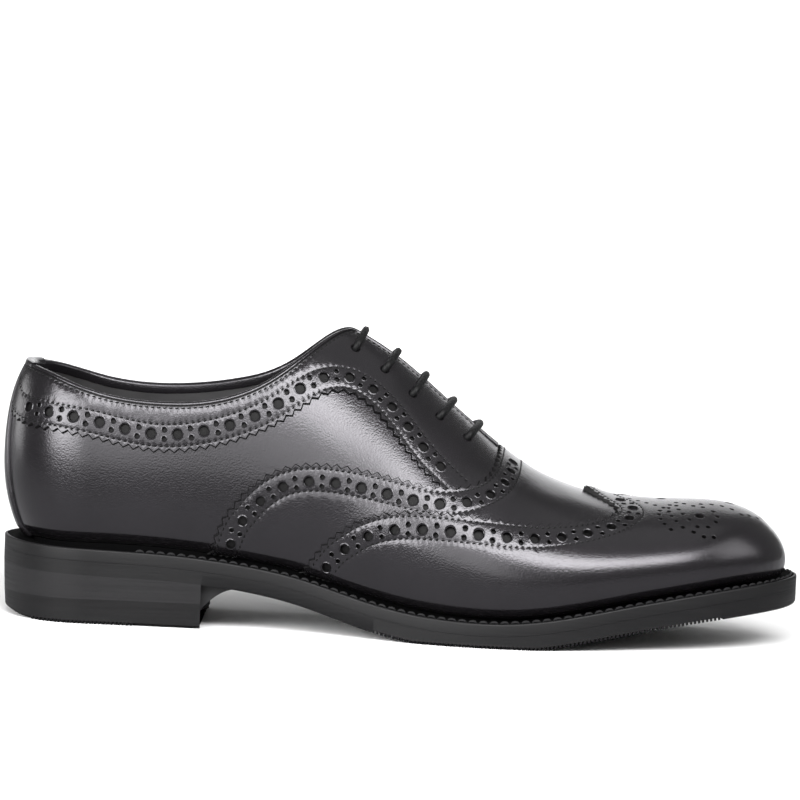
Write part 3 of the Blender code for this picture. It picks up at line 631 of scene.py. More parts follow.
class Panel:
    """A leather panel over the last: its outline, lines and holes in the chart, each with a drop."""

    def __init__(self, outline, lift):
        x, y = outline.T
        area = np.dot(x, np.roll(y, -1)) - np.dot(y, np.roll(x, -1))
        self.outline = outline if area > 0 else outline[::-1]
        self.lift = lift
        self.bottom = drawn_in(level_lift(PANEL_BOTTOM))
        self.points, self.drops, self.edges, self.holes, self.count = [], [], [], [], 0
        self.add(self.outline, EDGE_ROUND, closed=True)

    def add(self, line, drop, closed=False):
        """A line of chart points that the triangles keep."""
        count = len(line)
        self.points.append(line)
        self.drops.append(np.full(count, drop))
        last = count if closed else count - 1
        self.edges += [(self.count + i, self.count + (i + 1) % count) for i in range(last)]
        self.count += count

    def foot(self, first, last, side):
        """Points by the feather line between two runs, close enough for the turn there, clear of holes."""
        runs = np.arange(first, last, FEATHER_STEP)
        widest = section(station_of(runs), side)["swell_up"]
        for height in FEATHER_LINES:
            line = to_chart(runs[widest > height], WIDEST_SHARE * height / widest[widest > height], side)
            away = [np.linalg.norm(line - centre, axis=1) for centre in self.holes]
            for point in line[np.min([*away, np.full(len(line), np.inf)], axis=0) > HOLE_CLEAR]:
                self.add(point[None], 0.0)

    def hole(self, centre, rings):
        """A punched hole round a chart point."""
        along, across = chart_slopes(centre[None])
        first = unit(along)
        second = unit(across - first * (across * first).sum(-1, keepdims=True))
        turn = turns(HOLE_SIDES)
        circle = first * np.cos(turn)[:, None] + second * np.sin(turn)[:, None]
        step = chart_move(np.repeat(centre[None], HOLE_SIDES, axis=0), circle)
        for radius, drop in rings:
            self.add(centre + step * radius, drop, closed=True)
        self.add(centre[None], rings[-1][1])
        self.holes.append(centre)

    def fill(self, points, step):
        """Chart points in staggered rows over the outline's box, clear of the given points."""
        low, high = self.outline.min(axis=0), self.outline.max(axis=0)
        grid = []
        for k, y in enumerate(np.arange(low[1] + step / 2, high[1], step * math.sqrt(3) / 2)):
            grid += [(x, y) for x in np.arange(low[0] + step * (k % 2) / 2, high[0], step)]
        grid = np.array(grid)
        return grid[distances(tree_of(points), grid) > step * FILL_CLEAR]

    def mesh(self):
        """Points, faces and picks of the panel as a closed body: leather, hole floors and underside."""
        fixed = np.concatenate(self.points)
        spread_points = self.fill(fixed, FILL_STEP)
        drops = np.concatenate([*self.drops, np.zeros(len(spread_points) + 1)])
        top, faces, source, place = triangulate(np.concatenate([fixed, spread_points]), self.edges)
        deep = drops[source] > HOLE_DEEP
        height = self.lift(top) - drops[source]
        upper = on_last(top, np.where(deep, np.maximum(height, HOLE_FLOOR(top)), height))
        picks = [FLOOR_PICK if deep[face].any() else LEATHER_PICK for face in faces]
        count = len(self.outline)
        rim = [(i, (i + 1) % count) for i in range(count)]
        coarse = np.concatenate([self.outline, self.fill(self.outline, COARSE_STEP)])
        low, low_faces, _, low_place = triangulate(coarse, rim)
        lower = on_last(low, self.bottom(low))
        start = len(upper)
        faces = faces + [[v + start for v in face[::-1]] for face in low_faces]
        picks += [UNDER_PICK] * len(low_faces)
        for one, two in rim:
            if max(self.outline[one, 0], self.outline[two, 0]) > TINY:
                faces.append([low_place[one] + start, low_place[two] + start, place[two], place[one]])
                picks.append(FLOOR_PICK)
        points, faces, kept = weld(np.concatenate([upper, lower]), faces)
        return points, faces, [picks[i] for i in kept]


# Widths in from a pinked edge: a row of stitches, the holes, and another row.
STITCH_WIDTHS = (2.5, 10.8)
HOLE_WIDTH, PAIR_WIDTH = 7.2, 1.75
STITCH_LENGTH, STITCH_PITCH, STITCH_RADIUS = 1.7, 2.3, 0.28
STITCH_SINK, STITCH_SLANT = 0.16, math.radians(14)
DIP_HALF = 0.5
DIP_DEPTHS = np.array([0.3, 0.15, 0.0, 0.15])
STITCH_SHAPE = ((-0.5, 0.35, -0.9), (-0.32, 0.9, 0.1), (0.0, 1.0, 0.45), (0.32, 0.9, 0.1), (0.5, 0.35, -0.9))
STITCH_SIDES = 5


def stitch_template(length, radius):
    """One stitch: an arched bit of thread, along, across and up."""
    turn = turns(STITCH_SIDES)
    rings = []
    for along, size, up in STITCH_SHAPE:
        ring = [np.full(STITCH_SIDES, along * length), np.cos(turn) * size * radius]
        rings.append(np.stack([*ring, (np.sin(turn) * size + up) * radius], axis=1))
    return np.concatenate(rings), tube_faces(len(rings), STITCH_SIDES)


def stitches(line, lift):
    """A stitch at each point of a chart line."""
    place = on_last(line, lift(line) - STITCH_SINK)
    along, normal = unit(np.gradient(place, axis=0)), normals_at(line)
    along = along * math.cos(STITCH_SLANT) + np.cross(normal, along) * math.sin(STITCH_SLANT)
    axes = np.stack([along, np.cross(normal, along), normal], axis=1)
    return copies(*stitch_template(STITCH_LENGTH, STITCH_RADIUS), place, axes)


def sew(panel, row, edges):
    """A stitched row: the leather dips under each stitch, between two edge lines."""
    dips = len(DIP_DEPTHS)
    count = int(round(lengths_along(on_last(row))[-1] / STITCH_PITCH)) * dips + 1
    middle = spread(row, 0.0, 0.0, count)
    panel.add(middle, DIP_DEPTHS[np.arange(count) % dips])
    for edge in edges:
        panel.add(spread(edge, 0.0, 0.0, count // 2), 0.0)
    return stitches(middle[::dips], panel.lift)


def sew_band(panel, band, side):
    """The stitched rows of a band."""
    made = []
    for width in STITCH_WIDTHS:
        edges = [band.line(width + way, side) for way in (-DIP_HALF, DIP_HALF)]
        made.append(sew(panel, band.line(width, side), edges))
    return made


def punch(panel, band, side, count, first, last):
    """The row of large holes along a band, with a pair of small ones between them."""
    row = band.line(HOLE_WIDTH, side)
    half = (lengths_along(on_last(row))[-1] - first - last) / (count - 1) / 2
    centres = spread(row, first, last, count)
    middles = spread(row, first + half, last + half, count - 1)
    across = unit(np.cross(normals_at(middles), on_last(centres[1:]) - on_last(centres[:-1]))) * PAIR_WIDTH
    for centre in centres:
        panel.hole(centre, BIG_HOLE)
    for way in (-1, 1):
        for centre in middles + chart_move(middles, across * way):
            panel.hole(centre, SMALL_HOLE)


# Materials

CALF_TINT = (0.965, 0.94, 1.0, 1.0)
CORD_LIGHTER = 1.8
NOISE_LOW, NOISE_HIGH, PEBBLE_REACH = 0.3, 0.7, 0.8
# Sockets of the mix node that hold colours.
MIX_ONE, MIX_TWO, MIX_RESULT = 6, 7, 2


def node(tree, kind, **inputs):
    """A shader node with some of its inputs set by name."""
    made = tree.nodes.new(kind)
    for name, value in inputs.items():
        made.inputs[name.replace("_", " ")].default_value = value
    return made


def shader_of(name, colour, roughness, **constants):
    """A material with a Principled shader, its plain numbers set on the shader itself."""
    material = bpy.data.materials.new(name)
    material.use_nodes = True
    shader = material.node_tree.nodes["Principled BSDF"]
    shader.inputs["Base Color"].default_value = (*colour, 1)
    shader.inputs["Roughness"].default_value = roughness
    for key, value in constants.items():
        shader.inputs[key.replace("_", " ")].default_value = value
    return material, material.node_tree, shader


def noise(tree, scale, detail=2.0, roughness=0.5):
    """Noise over the shoe's own coordinates, its scale in cells per metre."""
    where = node(tree, "ShaderNodeTexCoord")
    made = node(tree, "ShaderNodeTexNoise", Scale=scale, Detail=detail, Roughness=roughness)
    tree.links.new(where.outputs["Object"], made.inputs["Vector"])
    return made.outputs["Fac"]


def pebbles(tree, scale):
    """Rounded cells over the shoe's own coordinates, high in their middles."""
    where = node(tree, "ShaderNodeTexCoord")
    made = node(tree, "ShaderNodeTexVoronoi", Scale=scale)
    made.feature = "SMOOTH_F1"
    tree.links.new(where.outputs["Object"], made.inputs["Vector"])
    return ranged(tree, made.outputs["Distance"], 1.0, 0.0, 0.0, PEBBLE_REACH)


def ranged(tree, source, low, high, first=NOISE_LOW, last=NOISE_HIGH):
    """A value carried from one range to another."""
    made = node(tree, "ShaderNodeMapRange", From_Min=first, From_Max=last, To_Min=low, To_Max=high)
    tree.links.new(source, made.inputs["Value"])
    return made.outputs["Result"]


def tinted(tree, shader, factor, dark, light):
    """The shader's colour between two, by a factor."""
    made = node(tree, "ShaderNodeMix")
    made.data_type = "RGBA"
    tree.links.new(factor, made.inputs["Factor"])
    made.inputs[MIX_ONE].default_value = (*dark, 1)
    made.inputs[MIX_TWO].default_value = (*light, 1)
    tree.links.new(made.outputs[MIX_RESULT], shader.inputs["Base Color"])


def bumps(tree, shader, *layers):
    """Bumps on the shader, each a height source with its strength and depth in metres."""
    before = None
    for source, strength, depth in layers:
        made = node(tree, "ShaderNodeBump", Strength=strength, Distance=depth)
        tree.links.new(source, made.inputs["Height"])
        if before:
            tree.links.new(before, made.inputs["Normal"])
        before = made.outputs["Normal"]
    tree.links.new(before, shader.inputs["Normal"])


def streaks(tree, along, upward):
    """Noise drawn out along the shoe, its scales in cells per metre."""
    where, stretch = node(tree, "ShaderNodeTexCoord"), node(tree, "ShaderNodeMapping")
    stretch.inputs["Scale"].default_value = (along, along, upward)
    made = node(tree, "ShaderNodeTexNoise", Scale=1.0, Detail=3.0)
    tree.links.new(where.outputs["Object"], stretch.inputs["Vector"])
    tree.links.new(stretch.outputs["Vector"], made.inputs["Vector"])
    return made.outputs["Fac"]


SOURCES = {"noise": noise, "pebbles": pebbles, "streaks": streaks}


def surface(name, dark, light, grain, rough, layers, rough_grain=None, **constants):
    """A material with a colour between two by its grain, a roughness that is plain or between two by a
    grain, and layers of bumps. A grain is the name of a source and its scales."""
    material, tree, shader = shader_of(name, dark, rough[0], **constants)
    made = {}

    def source(row):
        if row not in made:
            made[row] = SOURCES[row[0]](tree, *row[1:])
        return made[row]

    tinted(tree, shader, source(grain), dark, light)
    if rough_grain:
        tree.links.new(ranged(tree, source(rough_grain), *rough), shader.inputs["Roughness"])
    bumps(tree, shader, *[(source(row), strength, depth) for row, strength, depth in layers])
    return material


# Rubber with an edge trimmed in fine lines along the sole, and waxed thread or lace.
RUBBER_LINES = ("streaks", 40.0, 1400.0)
RUBBER = dict(
    grain=RUBBER_LINES, rough=(0.44, 0.56), rough_grain=RUBBER_LINES,
    layers=((RUBBER_LINES, 0.2, 0.0001), (("noise", 1500.0, 3.0), 0.2, 0.0001)), Specular_IOR_Level=0.24,
)
CORD = dict(
    grain=("noise", 1200.0), rough=(0.55,), layers=((("noise", 4000.0), 0.3, 0.00005),),
    Specular_IOR_Level=0.2,
)


def cord(name, colour):
    return surface(name, colour, [c * CORD_LIGHTER for c in colour], **CORD)


# Black polished calf: a fine grain, with faint brown where the polish is thin.
CALF = surface(
    "black_calf", (0.004, 0.0037, 0.004), (0.008, 0.0072, 0.0084), grain=("noise", 45.0, 3.0),
    rough=(0.2, 0.26), rough_grain=("noise", 1500.0, 3.0),
    layers=((("noise", 320.0, 2.0), 0.08, 0.0002), (("pebbles", 1700.0), 0.45, 0.0001)),
    Specular_IOR_Level=0.5, Specular_Tint=CALF_TINT, Coat_Weight=0.12, Coat_Roughness=0.12,
)
# Dark lining leather, matt, with a soft nap.
LINING = surface(
    "lining_leather", (0.0155, 0.015, 0.0156), (0.032, 0.031, 0.0322), grain=("noise", 90.0),
    rough=(0.5, 0.7), rough_grain=("noise", 500.0), layers=((("noise", 1800.0, 3.0), 0.3, 0.0001),),
)
SOLE_RUBBER = surface("sole_rubber", (0.0036, 0.0035, 0.0038), (0.0062, 0.006, 0.0065), **RUBBER)
HEEL_RUBBER = surface("heel_rubber", (0.009, 0.0087, 0.0094), (0.0135, 0.0131, 0.014), **RUBBER)
LACE = cord("lace_cord", (0.003, 0.003, 0.0032))
THREAD = cord("waxed_thread", (0.003, 0.003, 0.003))
# The welt's thread is lighter than the upper's: a painted glint on its stitches.
WELT_THREAD_PAINTED_GLINT = cord("welt_thread_painted_glint", (0.01, 0.0098, 0.0104))
# The raw leather seen at the bottom of a punched hole.
PUNCHED = surface(
    "punched_leather", (0.002, 0.0019, 0.002), (0.0056, 0.0053, 0.0055), grain=("noise", 900.0),
    rough=(0.5,), layers=((("noise", 2500.0), 0.5, 0.0001),), Specular_IOR_Level=0.14,
)
# Near-black matt paint for the welt's top and inner side, in the crease under the upper: painted shade.
WELT_CREASE_PAINTED_SHADE = shader_of("welt_crease_painted_shade", (0.0015, 0.0015, 0.0016), 0.9, Specular_IOR_Level=0.03)[0]
PANEL_MATERIALS = [CALF, PUNCHED, CALF]


# The upper's pieces

FACING_START, FACING_END = (-169.0, 0.444), (20.0, 0.45)
FACING = trace((FACING_START,) + FACING_EDGE + (FACING_END,))
VAMP, WING, STAY = trace(VAMP_EDGE), trace(WING_EDGE), trace(STAY_EDGE)
FACING_TUCK, VAMP_TUCK = 4.0, 4.0
TUCK_THIN, TOP_THIN = 3, 2
TOP_INSET = 0.4
CORNER_ROUND = 2.0
THROAT_CLEAR = 0.3
TOP_STITCH = 2.1
# Holes in a row, and the lengths left free at its start and end.
FACING_HOLES, VAMP_HOLES, WING_HOLES = (19, 17.3, 10.3), (15, 13.0, 12.7), (15, 14.7, 12.5)
LINING_RIM, LINING_TAPER = -1.0, 14.0


def rounded(line, reach):
    """A chart line with its corners rounded off, its ends kept."""
    count = int(reach / LINE_STEP)
    before, after = 2 * line[0] - line[count:0:-1], 2 * line[-1] - line[-2 : -count - 2 : -1]
    padded = np.concatenate([before, line, after])
    window = np.ones(2 * count + 1) / (2 * count + 1)
    return np.stack([np.convolve(column, window, "valid") for column in padded.T], axis=1)


def top_line(side):
    """The upper's top edge from the back seam round the collar and down the throat."""
    a = np.linspace(BACK_SEAM, THROAT_END - THROAT_CLEAR, RUN_SAMPLES)
    return rounded(even(to_chart(run_of(a), upper_top(a, side), side), LINE_STEP), CORNER_ROUND)


def feather(first, last, side):
    """The feather line between two runs."""
    return even(to_chart(np.linspace(first, last, TRACE_SAMPLES), 0.0, side), FOOT_STEP)


def nearest(one, two):
    """Numbers of the nearest points of two chart lines."""
    gap = np.linalg.norm(one[:, None] - two[None], axis=2)
    return np.unravel_index(np.argmin(gap), gap.shape)


def dress(panel, band, side, holes, foot=()):
    """Along a pinked edge: its bevel, the holes, points by the feather line, and the stitches."""
    panel.add(band.teeth(EDGE_INSET), 0.0)
    punch(panel, band, side, *holes)
    if foot:
        panel.foot(*foot, side)
    return sew_band(panel, band, side)


def panel_pieces(name, panel, sewn):
    """A panel and its stitches, for one solid."""
    points, faces, picks = panel.mesh()
    piece(name + "_panel", points, faces, PANEL_MATERIALS, "upper_leather", [name], picks)
    piece(name + "_stitches", *joined(sewn), [THREAD], "upper_leather")


TOP_LINES = {side: top_line(side) for side in SIDES}
TOP_BANDS = {side: Band(TOP_LINES[side], side) for side in SIDES}
VAMP_BANDS = {side: Band(chart_line(VAMP, side), side) for side in SIDES}
WING_BANDS = {side: Band(chart_line(WING, side), side) for side in SIDES}


def facing(side):
    """The collar and facing panel of one side, its lower edge pinked, its front under the vamp."""
    tuck = VAMP_BANDS[side].line(FACING_TUCK, side)
    lower = chart_line(FACING, side)
    last, first = nearest(lower, tuck)
    band = Band(lower[: last + 1], -side)
    front = tuck[first + 1 :]
    front = front[np.abs(front[:, 1]) > THROAT_HALF_GAP]
    top = TOP_BANDS[side].line(TOP_INSET)
    top = top[top[:, 0] > lower[0, 0]]
    lift = lift_by(VAMP_BANDS[side].line(0.0), FACING_TUCKED_LIFT, FACING_LIFT, TUCK_LENGTH)
    panel = Panel(np.concatenate([band.teeth(0.0), front[::TUCK_THIN], top[::-TOP_THIN]]), lift)
    sewn = dress(panel, band, side, FACING_HOLES)
    rows = [TOP_BANDS[side].line(TOP_STITCH + way) for way in (-DIP_HALF, 0.0, DIP_HALF)]
    low_edge, row, high_edge = (line[line[:, 0] > lower[0, 0] + TOP_STITCH] for line in rows)
    sewn.append(sew(panel, row, [low_edge, high_edge]))
    for eyelet, share, _ in LACE_BARS:
        panel.hole(to_chart(run_of(np.array(eyelet)), share, side), EYELET)
    panel_pieces("facing_" + SIDE_NAMES[side], panel, sewn)


def both_sides(lines):
    """The lateral line forward to the ridge, then the medial line back."""
    return np.concatenate([lines[LATERAL], lines[MEDIAL][-2::-1]])


def vamp():
    """The vamp, its back edge pinked, its front under the wing cap."""
    edge = {side: VAMP_BANDS[side].teeth(0.0) for side in SIDES}
    front = {side: WING_BANDS[side].line(VAMP_TUCK, side)[::TUCK_THIN] for side in SIDES}
    foot = {side: feather(edge[side][0, 0], front[side][0, 0], side)[1:-1] for side in SIDES}
    wing_line = np.concatenate([WING_BANDS[side].line(0.0) for side in SIDES])
    lift = drawn_in(lift_by(wing_line, VAMP_TUCKED_LIFT, VAMP_LIFT, TUCK_LENGTH))
    outline = [both_sides(edge), foot[MEDIAL], front[MEDIAL], front[LATERAL][::-1], foot[LATERAL][::-1]]
    panel = Panel(np.concatenate(outline), lift)
    sewn = []
    for side in SIDES:
        ends = edge[side][0, 0], front[side][0, 0]
        sewn += dress(panel, VAMP_BANDS[side], side, VAMP_HOLES, ends)
    panel_pieces("vamp", panel, sewn)


# One half of the toe's medallion, in plan: ahead along the shoe and out from the ridge. Small holes stand
# in bowed rows from one place to another.
MEDALLION_LARGE = ((100.5, 0), (126.5, 0), (114.5, 23))
MEDALLION_COLUMNS = "ahead out end_ahead end_out bow count"
MEDALLION_ROWS = (
    (88, 6, 101, 17, 0, 5), (99.5, 20.5, 103.5, 33.5, -2, 5), (103.5, 13, 108, 31.5, -2.5, 6),
    (106, 9, 113.5, 30, -2.5, 6), (112, 33, 119.5, 32.5, -1, 3), (117.5, 29, 116, 14.5, -4.5, 5),
    (109, 10.5, 112.5, 13.5, 0, 2), (115.5, 10.5, 130.5, 13, 2, 5), (133.5, 10, 138, 2, -1, 3),
)


def toe_place(ahead, out, side):
    """The chart point on the toe that lies so far along the shoe, and so far out from the ridge."""
    shares = np.linspace(1, WIDEST_SHARE, WALL_SAMPLES)
    wall = last_surface(ahead, shares, side)
    share = np.interp(out, np.abs(wall[:, 1] - wall[0, 1]), shares)
    return to_chart(run_of(ahead), share, side)


def bowed_row(ahead, out, end_ahead, end_out, bow, count):
    """Places in plan along a bowed row."""
    start, chord = np.array([ahead, out]), np.array([end_ahead - ahead, end_out - out])
    aside = np.array([chord[1], -chord[0]]) / np.linalg.norm(chord)
    share = np.linspace(0, 1, count)[:, None]
    return start + chord * share + aside * bow * 4 * share * (1 - share)


def medallion(panel):
    """The holes of the toe's medallion, the same on both sides of the ridge."""
    small = np.concatenate([bowed_row(**row) for row in named(MEDALLION_COLUMNS, MEDALLION_ROWS)])
    for rings, places in ((TOE_HOLE, MEDALLION_LARGE), (PIN_HOLE, small)):
        for ahead, out in places:
            for side in SIDES if out else (LATERAL,):
                panel.hole(toe_place(ahead, out, side), rings)


def wing():
    """The wing cap: pinked edge, punched rows and the toe's medallion."""
    edge = {side: WING_BANDS[side].teeth(0.0) for side in SIDES}
    foot = {side: feather(edge[side][0, 0], TOE_RUN, side)[1:] for side in SIDES}
    peak = to_chart(run_of(np.array([PEAK_STATION])), 1.0, LATERAL)
    lift = drawn_in(lift_by(peak, WING_LIFT + PEAK_RISE, WING_LIFT, PEAK_REACH))
    panel = Panel(np.concatenate([both_sides(edge), foot[MEDIAL], foot[LATERAL][-2::-1]]), lift)
    sewn = []
    for side in SIDES:
        sewn += dress(panel, WING_BANDS[side], side, WING_HOLES, (edge[side][0, 0], TOE_RUN))
    medallion(panel)
    panel_pieces("wing_cap", panel, sewn)


def shell():
    """The upper's own wall: the quarters outside, the lining inside."""
    seam = {}
    for side in SIDES:
        shares = np.linspace(0, TOP_EDGE_ROWS[0][1], TRACE_SAMPLES)
        seam[side] = even(to_chart(np.zeros_like(shares), shares, side), FOOT_STEP)
    half = {side: np.concatenate([seam[side][:-1], TOP_LINES[side][::TOP_THIN]]) for side in SIDES}
    foot = {side: feather(0.0, TOE_RUN, side)[1:] for side in SIDES}
    throat = to_chart(np.array([run_of(THROAT_END)]), 1.0, LATERAL)
    outline = [half[LATERAL], throat, half[MEDIAL][::-1], foot[MEDIAL], foot[LATERAL][-2::-1]]
    panel = Panel(np.concatenate(outline), drawn_in(level_lift(SHELL_LIFT)))
    for side in SIDES:
        panel.foot(0.0, TOE_RUN, side)
    tops = np.concatenate([TOP_LINES[side] for side in SIDES])
    panel.bottom = drawn_in(lift_by(tops, LINING_RIM, SHELL_INSIDE, LINING_TAPER))
    points, faces, picks = panel.mesh()
    piece("upper_shell", points, faces, [CALF, PUNCHED, LINING], "upper_leather", ["upper"], picks)


# The sole

SOLE_STEPS, HEEL_STEPS = 420, 150
SOLE_ACROSS = 12
# The last number counts the bands of the welt's section, from inside, that are painted near-black as shade
# in the crease under the upper.
WELT_SEAT, WELT_SEAT_RISE, WELT_SEAT_DROP, WELT_PAINTED_SHADE_BANDS = -2.6, 0.6, 0.4, 4
# The welt's cross-section from the upper to its foot: in from its edge, and drop.
WELT_PROFILE = (
    (3.5, 0.15), (1.0, 0.0), (0.6, 0.0), (0.3, 0.12), (0.08, 0.35), (0.0, 0.7), (0.0, 4.7), (0.1, 4.8),
)
WELT_STITCH_INSET, WELT_STITCH_RISE, WELT_STITCH_START = 2.0, 0.35, -98.0
WELT_STITCH_PITCH, WELT_STITCH_LENGTH, WELT_STITCH_RADIUS = 4.0, 3.2, 0.45
CUT_LENGTH, CUT_ROUND = 15.0, 0.35
HEEL_RECESS, RIB_INSET = 2.5, 0.6
SWEEP_AHEAD, SWEEP_DOWN, SWEEP_POWER = 14.0, 10.0, 1.8
SWEEP_INSET, SWEEP_SINK, SWEEP_STEPS = 4.0, 0.1, 12
RIB_PITCH, RIB_WIDTH, RIB_DEPTH, RIB_SINK = 1.54, 0.8, 1.2, 0.1
FOREFOOT_TREAD, HEEL_TREAD = (-8.0, 124.0), (-139.0, -100.0)
BOX_FACES = np.array([(0, 1, 3, 2), (4, 6, 7, 5), (0, 2, 6, 4), (2, 3, 7, 6), (3, 1, 5, 7), (1, 0, 4, 5)])
BOX_CORNERS = 8
# The welt's top edge and the outsole's lower edge, up or down from the solids' lines.
SHIFT_COLUMNS = "x welt outsole"
SHIFT_ROWS = (
    (-152, 1.0, 2.0), (-141, 0.0, 1.0), (-128, -0.7, 0.3), (-112, -1.3, -0.4), (-77, -1.2, 0.0),
    (-20, -1.1, 0.0), (40, -0.5, 0.0), (150, 0.0, 0.0),
)
SHIFT = splines(SHIFT_COLUMNS, SHIFT_ROWS)
seat_height = BOTTOM["top"]


def welt_top(x):
    return seat_height(x) + SHIFT["welt"](x)


def outsole_top(x):
    return welt_top(x) - WELT_THICK


def outsole_bottom(x):
    return np.maximum(seat_height(x) - DEPTH["depth"](x) + SHIFT["outsole"](x), 0.0)


def heel_split(x):
    """Height of the line between the heel stack and the top piece."""
    back = last_surface(BACK_SEAM, 0.0, LATERAL)[0]
    share = np.clip((x - back) / (HEEL_BREAST_X - back), 0, 1)
    return HEEL_LIFT_BACK + (HEEL_LIFT_FRONT - HEEL_LIFT_BACK) * share


def heel_floor(x):
    """The top piece is flat on the floor and lifts a little at the very back."""
    behind = np.clip((HEEL_BEVEL_START_X - x) / HEEL_BEVEL_LENGTH, 0, 1)
    return HEEL_BEVEL * behind**2


def level(height, drop):
    """A height function lowered by a drop."""
    return lambda x: height(x) - drop


def ring_loops(sides, height):
    """A closed loop of points round the shoe from its two sides in plan."""
    plan = np.concatenate([sides[0], sides[1][-2:0:-1]])
    return np.concatenate([plan, height(plan[:, 0])[:, None]], axis=1)


def ring(profile):
    """A closed ring from loops that are the corners of its cross-section, from inside over the top."""
    loops = np.array([ring_loops(*corner) for corner in profile])
    faces = grid_faces(*loops.shape[:2], closed=True, ring=True)[:, ::-1]
    return loops.reshape(-1, 3), faces.tolist()


def rungs(sides, height, bow=0.0):
    """Grid of points across a plan outline at a height given by x, its last rung bowed back."""
    share = np.linspace(0, 1, SOLE_ACROSS + 1)[None, :, None]
    plan = sides[0][:, None, :] * (1 - share) + sides[1][:, None, :] * share
    plan[-1, :, 0] -= bow * (1 - (2 * share[0, :, 0] - 1) ** 2)
    return np.concatenate([plan, height(plan[..., 0])[..., None]], axis=-1)


def grid_rim(rows, columns):
    """Numbers of a grid's outer points, in order round it."""
    number = np.arange(rows * columns).reshape(rows, columns)
    return [*number[:, 0], *number[-1, 1:], *number[-2::-1, -1], *number[0, -2:0:-1]]


def stack(layers):
    """A body between a top grid and a bottom grid, through the rims of the grids between them."""
    rows, columns = layers[0].shape[:2]
    rim = grid_rim(rows, columns)
    size = rows * columns
    quads = grid_faces(rows, columns)
    faces = quads[:, ::-1].tolist() + (quads + size * (len(layers) - 1)).tolist()
    for number in range(len(layers) - 1):
        high, low = number * size, (number + 1) * size
        for one, two in zip(rim, rim[1:] + rim[:1]):
            faces.append([two + high, one + high, one + low, two + low])
    points, faces, _ = weld(np.concatenate([layer.reshape(-1, 3) for layer in layers]), faces)
    return points, faces


def welt():
    """The welt: its edge, and a row of stitches on its top forward of the heel."""
    def at(inset):
        return loop(edge_width(SOLE_LIP - inset), SOLE_STEPS)

    inner = loop(WELT_INNER, SOLE_STEPS)
    seat = loop(WELT_SEAT, SOLE_STEPS)
    profile = [(inside, level(seat_height, -WELT_SEAT_RISE)) for inside in (inner, seat)]
    profile.append((seat, level(welt_top, WELT_SEAT_DROP)))
    profile += [(at(inset), level(welt_top, drop)) for inset, drop in WELT_PROFILE]
    profile.append((inner, level(welt_top, WELT_THICK)))
    points, faces = ring(profile)
    # The inner ledge, riser and flat top of the welt take the near-black paint: painted shade in the crease
    # under the upper.
    picks = np.arange(len(faces)) < WELT_PAINTED_SHADE_BANDS * len(faces) // len(profile)
    piece("welt_ring", points, faces, [SOLE_RUBBER, WELT_CREASE_PAINTED_SHADE], "sole_rubber", ["welt"], picks)
    line = ring_loops(at(WELT_STITCH_INSET), level(welt_top, -WELT_STITCH_RISE))
    line = line[line[:, 0] > WELT_STITCH_START]
    lengths = lengths_along(line)
    place = sampled(line, lengths, np.arange(0, lengths[-1], WELT_STITCH_PITCH))
    along = unit(np.gradient(place, axis=0))
    across = unit(np.cross([0.0, 0, 1], along))
    axes = np.stack([along, across, np.cross(along, across)], axis=1)
    sewn = copies(*stitch_template(WELT_STITCH_LENGTH, WELT_STITCH_RADIUS), place, axes)
    # The welt's stitches take the lighter thread, whose colour is a painted glint.
    piece("welt_stitches", *sewn, [WELT_THREAD_PAINTED_GLINT], "sole_rubber")


def tread(span, low, high, sides):
    """Cross ribs between two places along the shoe, from a low height function up to a high one."""
    corners = []
    for x in np.arange(span[0], span[1], RIB_PITCH):
        for z in (low, high):
            for end in (x, x + RIB_WIDTH):
                for side in sides[z is high]:
                    order = np.argsort(side[:, 0])
                    corners.append((end, np.interp(end, side[order, 0], side[order, 1]), z(end)))
    first = np.arange(0, len(corners), BOX_CORNERS)
    return np.array(corners), (first[:, None, None] + BOX_FACES[None]).reshape(-1, 4).tolist()


def raised(floor, span, depth):
    """A floor lifted by a depth within a span along the shoe."""
    return lambda x: floor(x) + depth * ((x > span[0]) & (x < span[1]))


def outsole():
    """The outsole with its cross ribs, its lower edge cut back forward of the heel."""
    def at(inset):
        return loop(lambda a, side: edge_width(SOLE_LIP)(a, side) - inset * cut_share(a), SOLE_STEPS)

    def cut_share(x):
        return smooth_step((x - HEEL_BREAST_X) / CUT_LENGTH)

    def cut(share):
        return lambda x: outsole_bottom(x) + SOLE_CHAMFER * share * cut_share(x)

    full, tucked = at(0.0), at(SOLE_CHAMFER)
    floor = raised(outsole_bottom, FOREFOOT_TREAD, RIB_DEPTH - RIB_SINK)
    curve = rungs(at(SOLE_CHAMFER * CUT_ROUND), lambda x: np.maximum(floor(x), cut(CUT_ROUND)(x)))
    body = stack([rungs(full, outsole_top), rungs(full, cut(1.0)), curve, rungs(tucked, floor)])
    ribs_top = level(outsole_bottom, -RIB_DEPTH - RIB_SINK)
    ribs = tread(FOREFOOT_TREAD, outsole_bottom, ribs_top, (tucked, full))
    piece("outsole_tread", *joined([body, ribs]), [SOLE_RUBBER], "sole_rubber", ["outsole"])


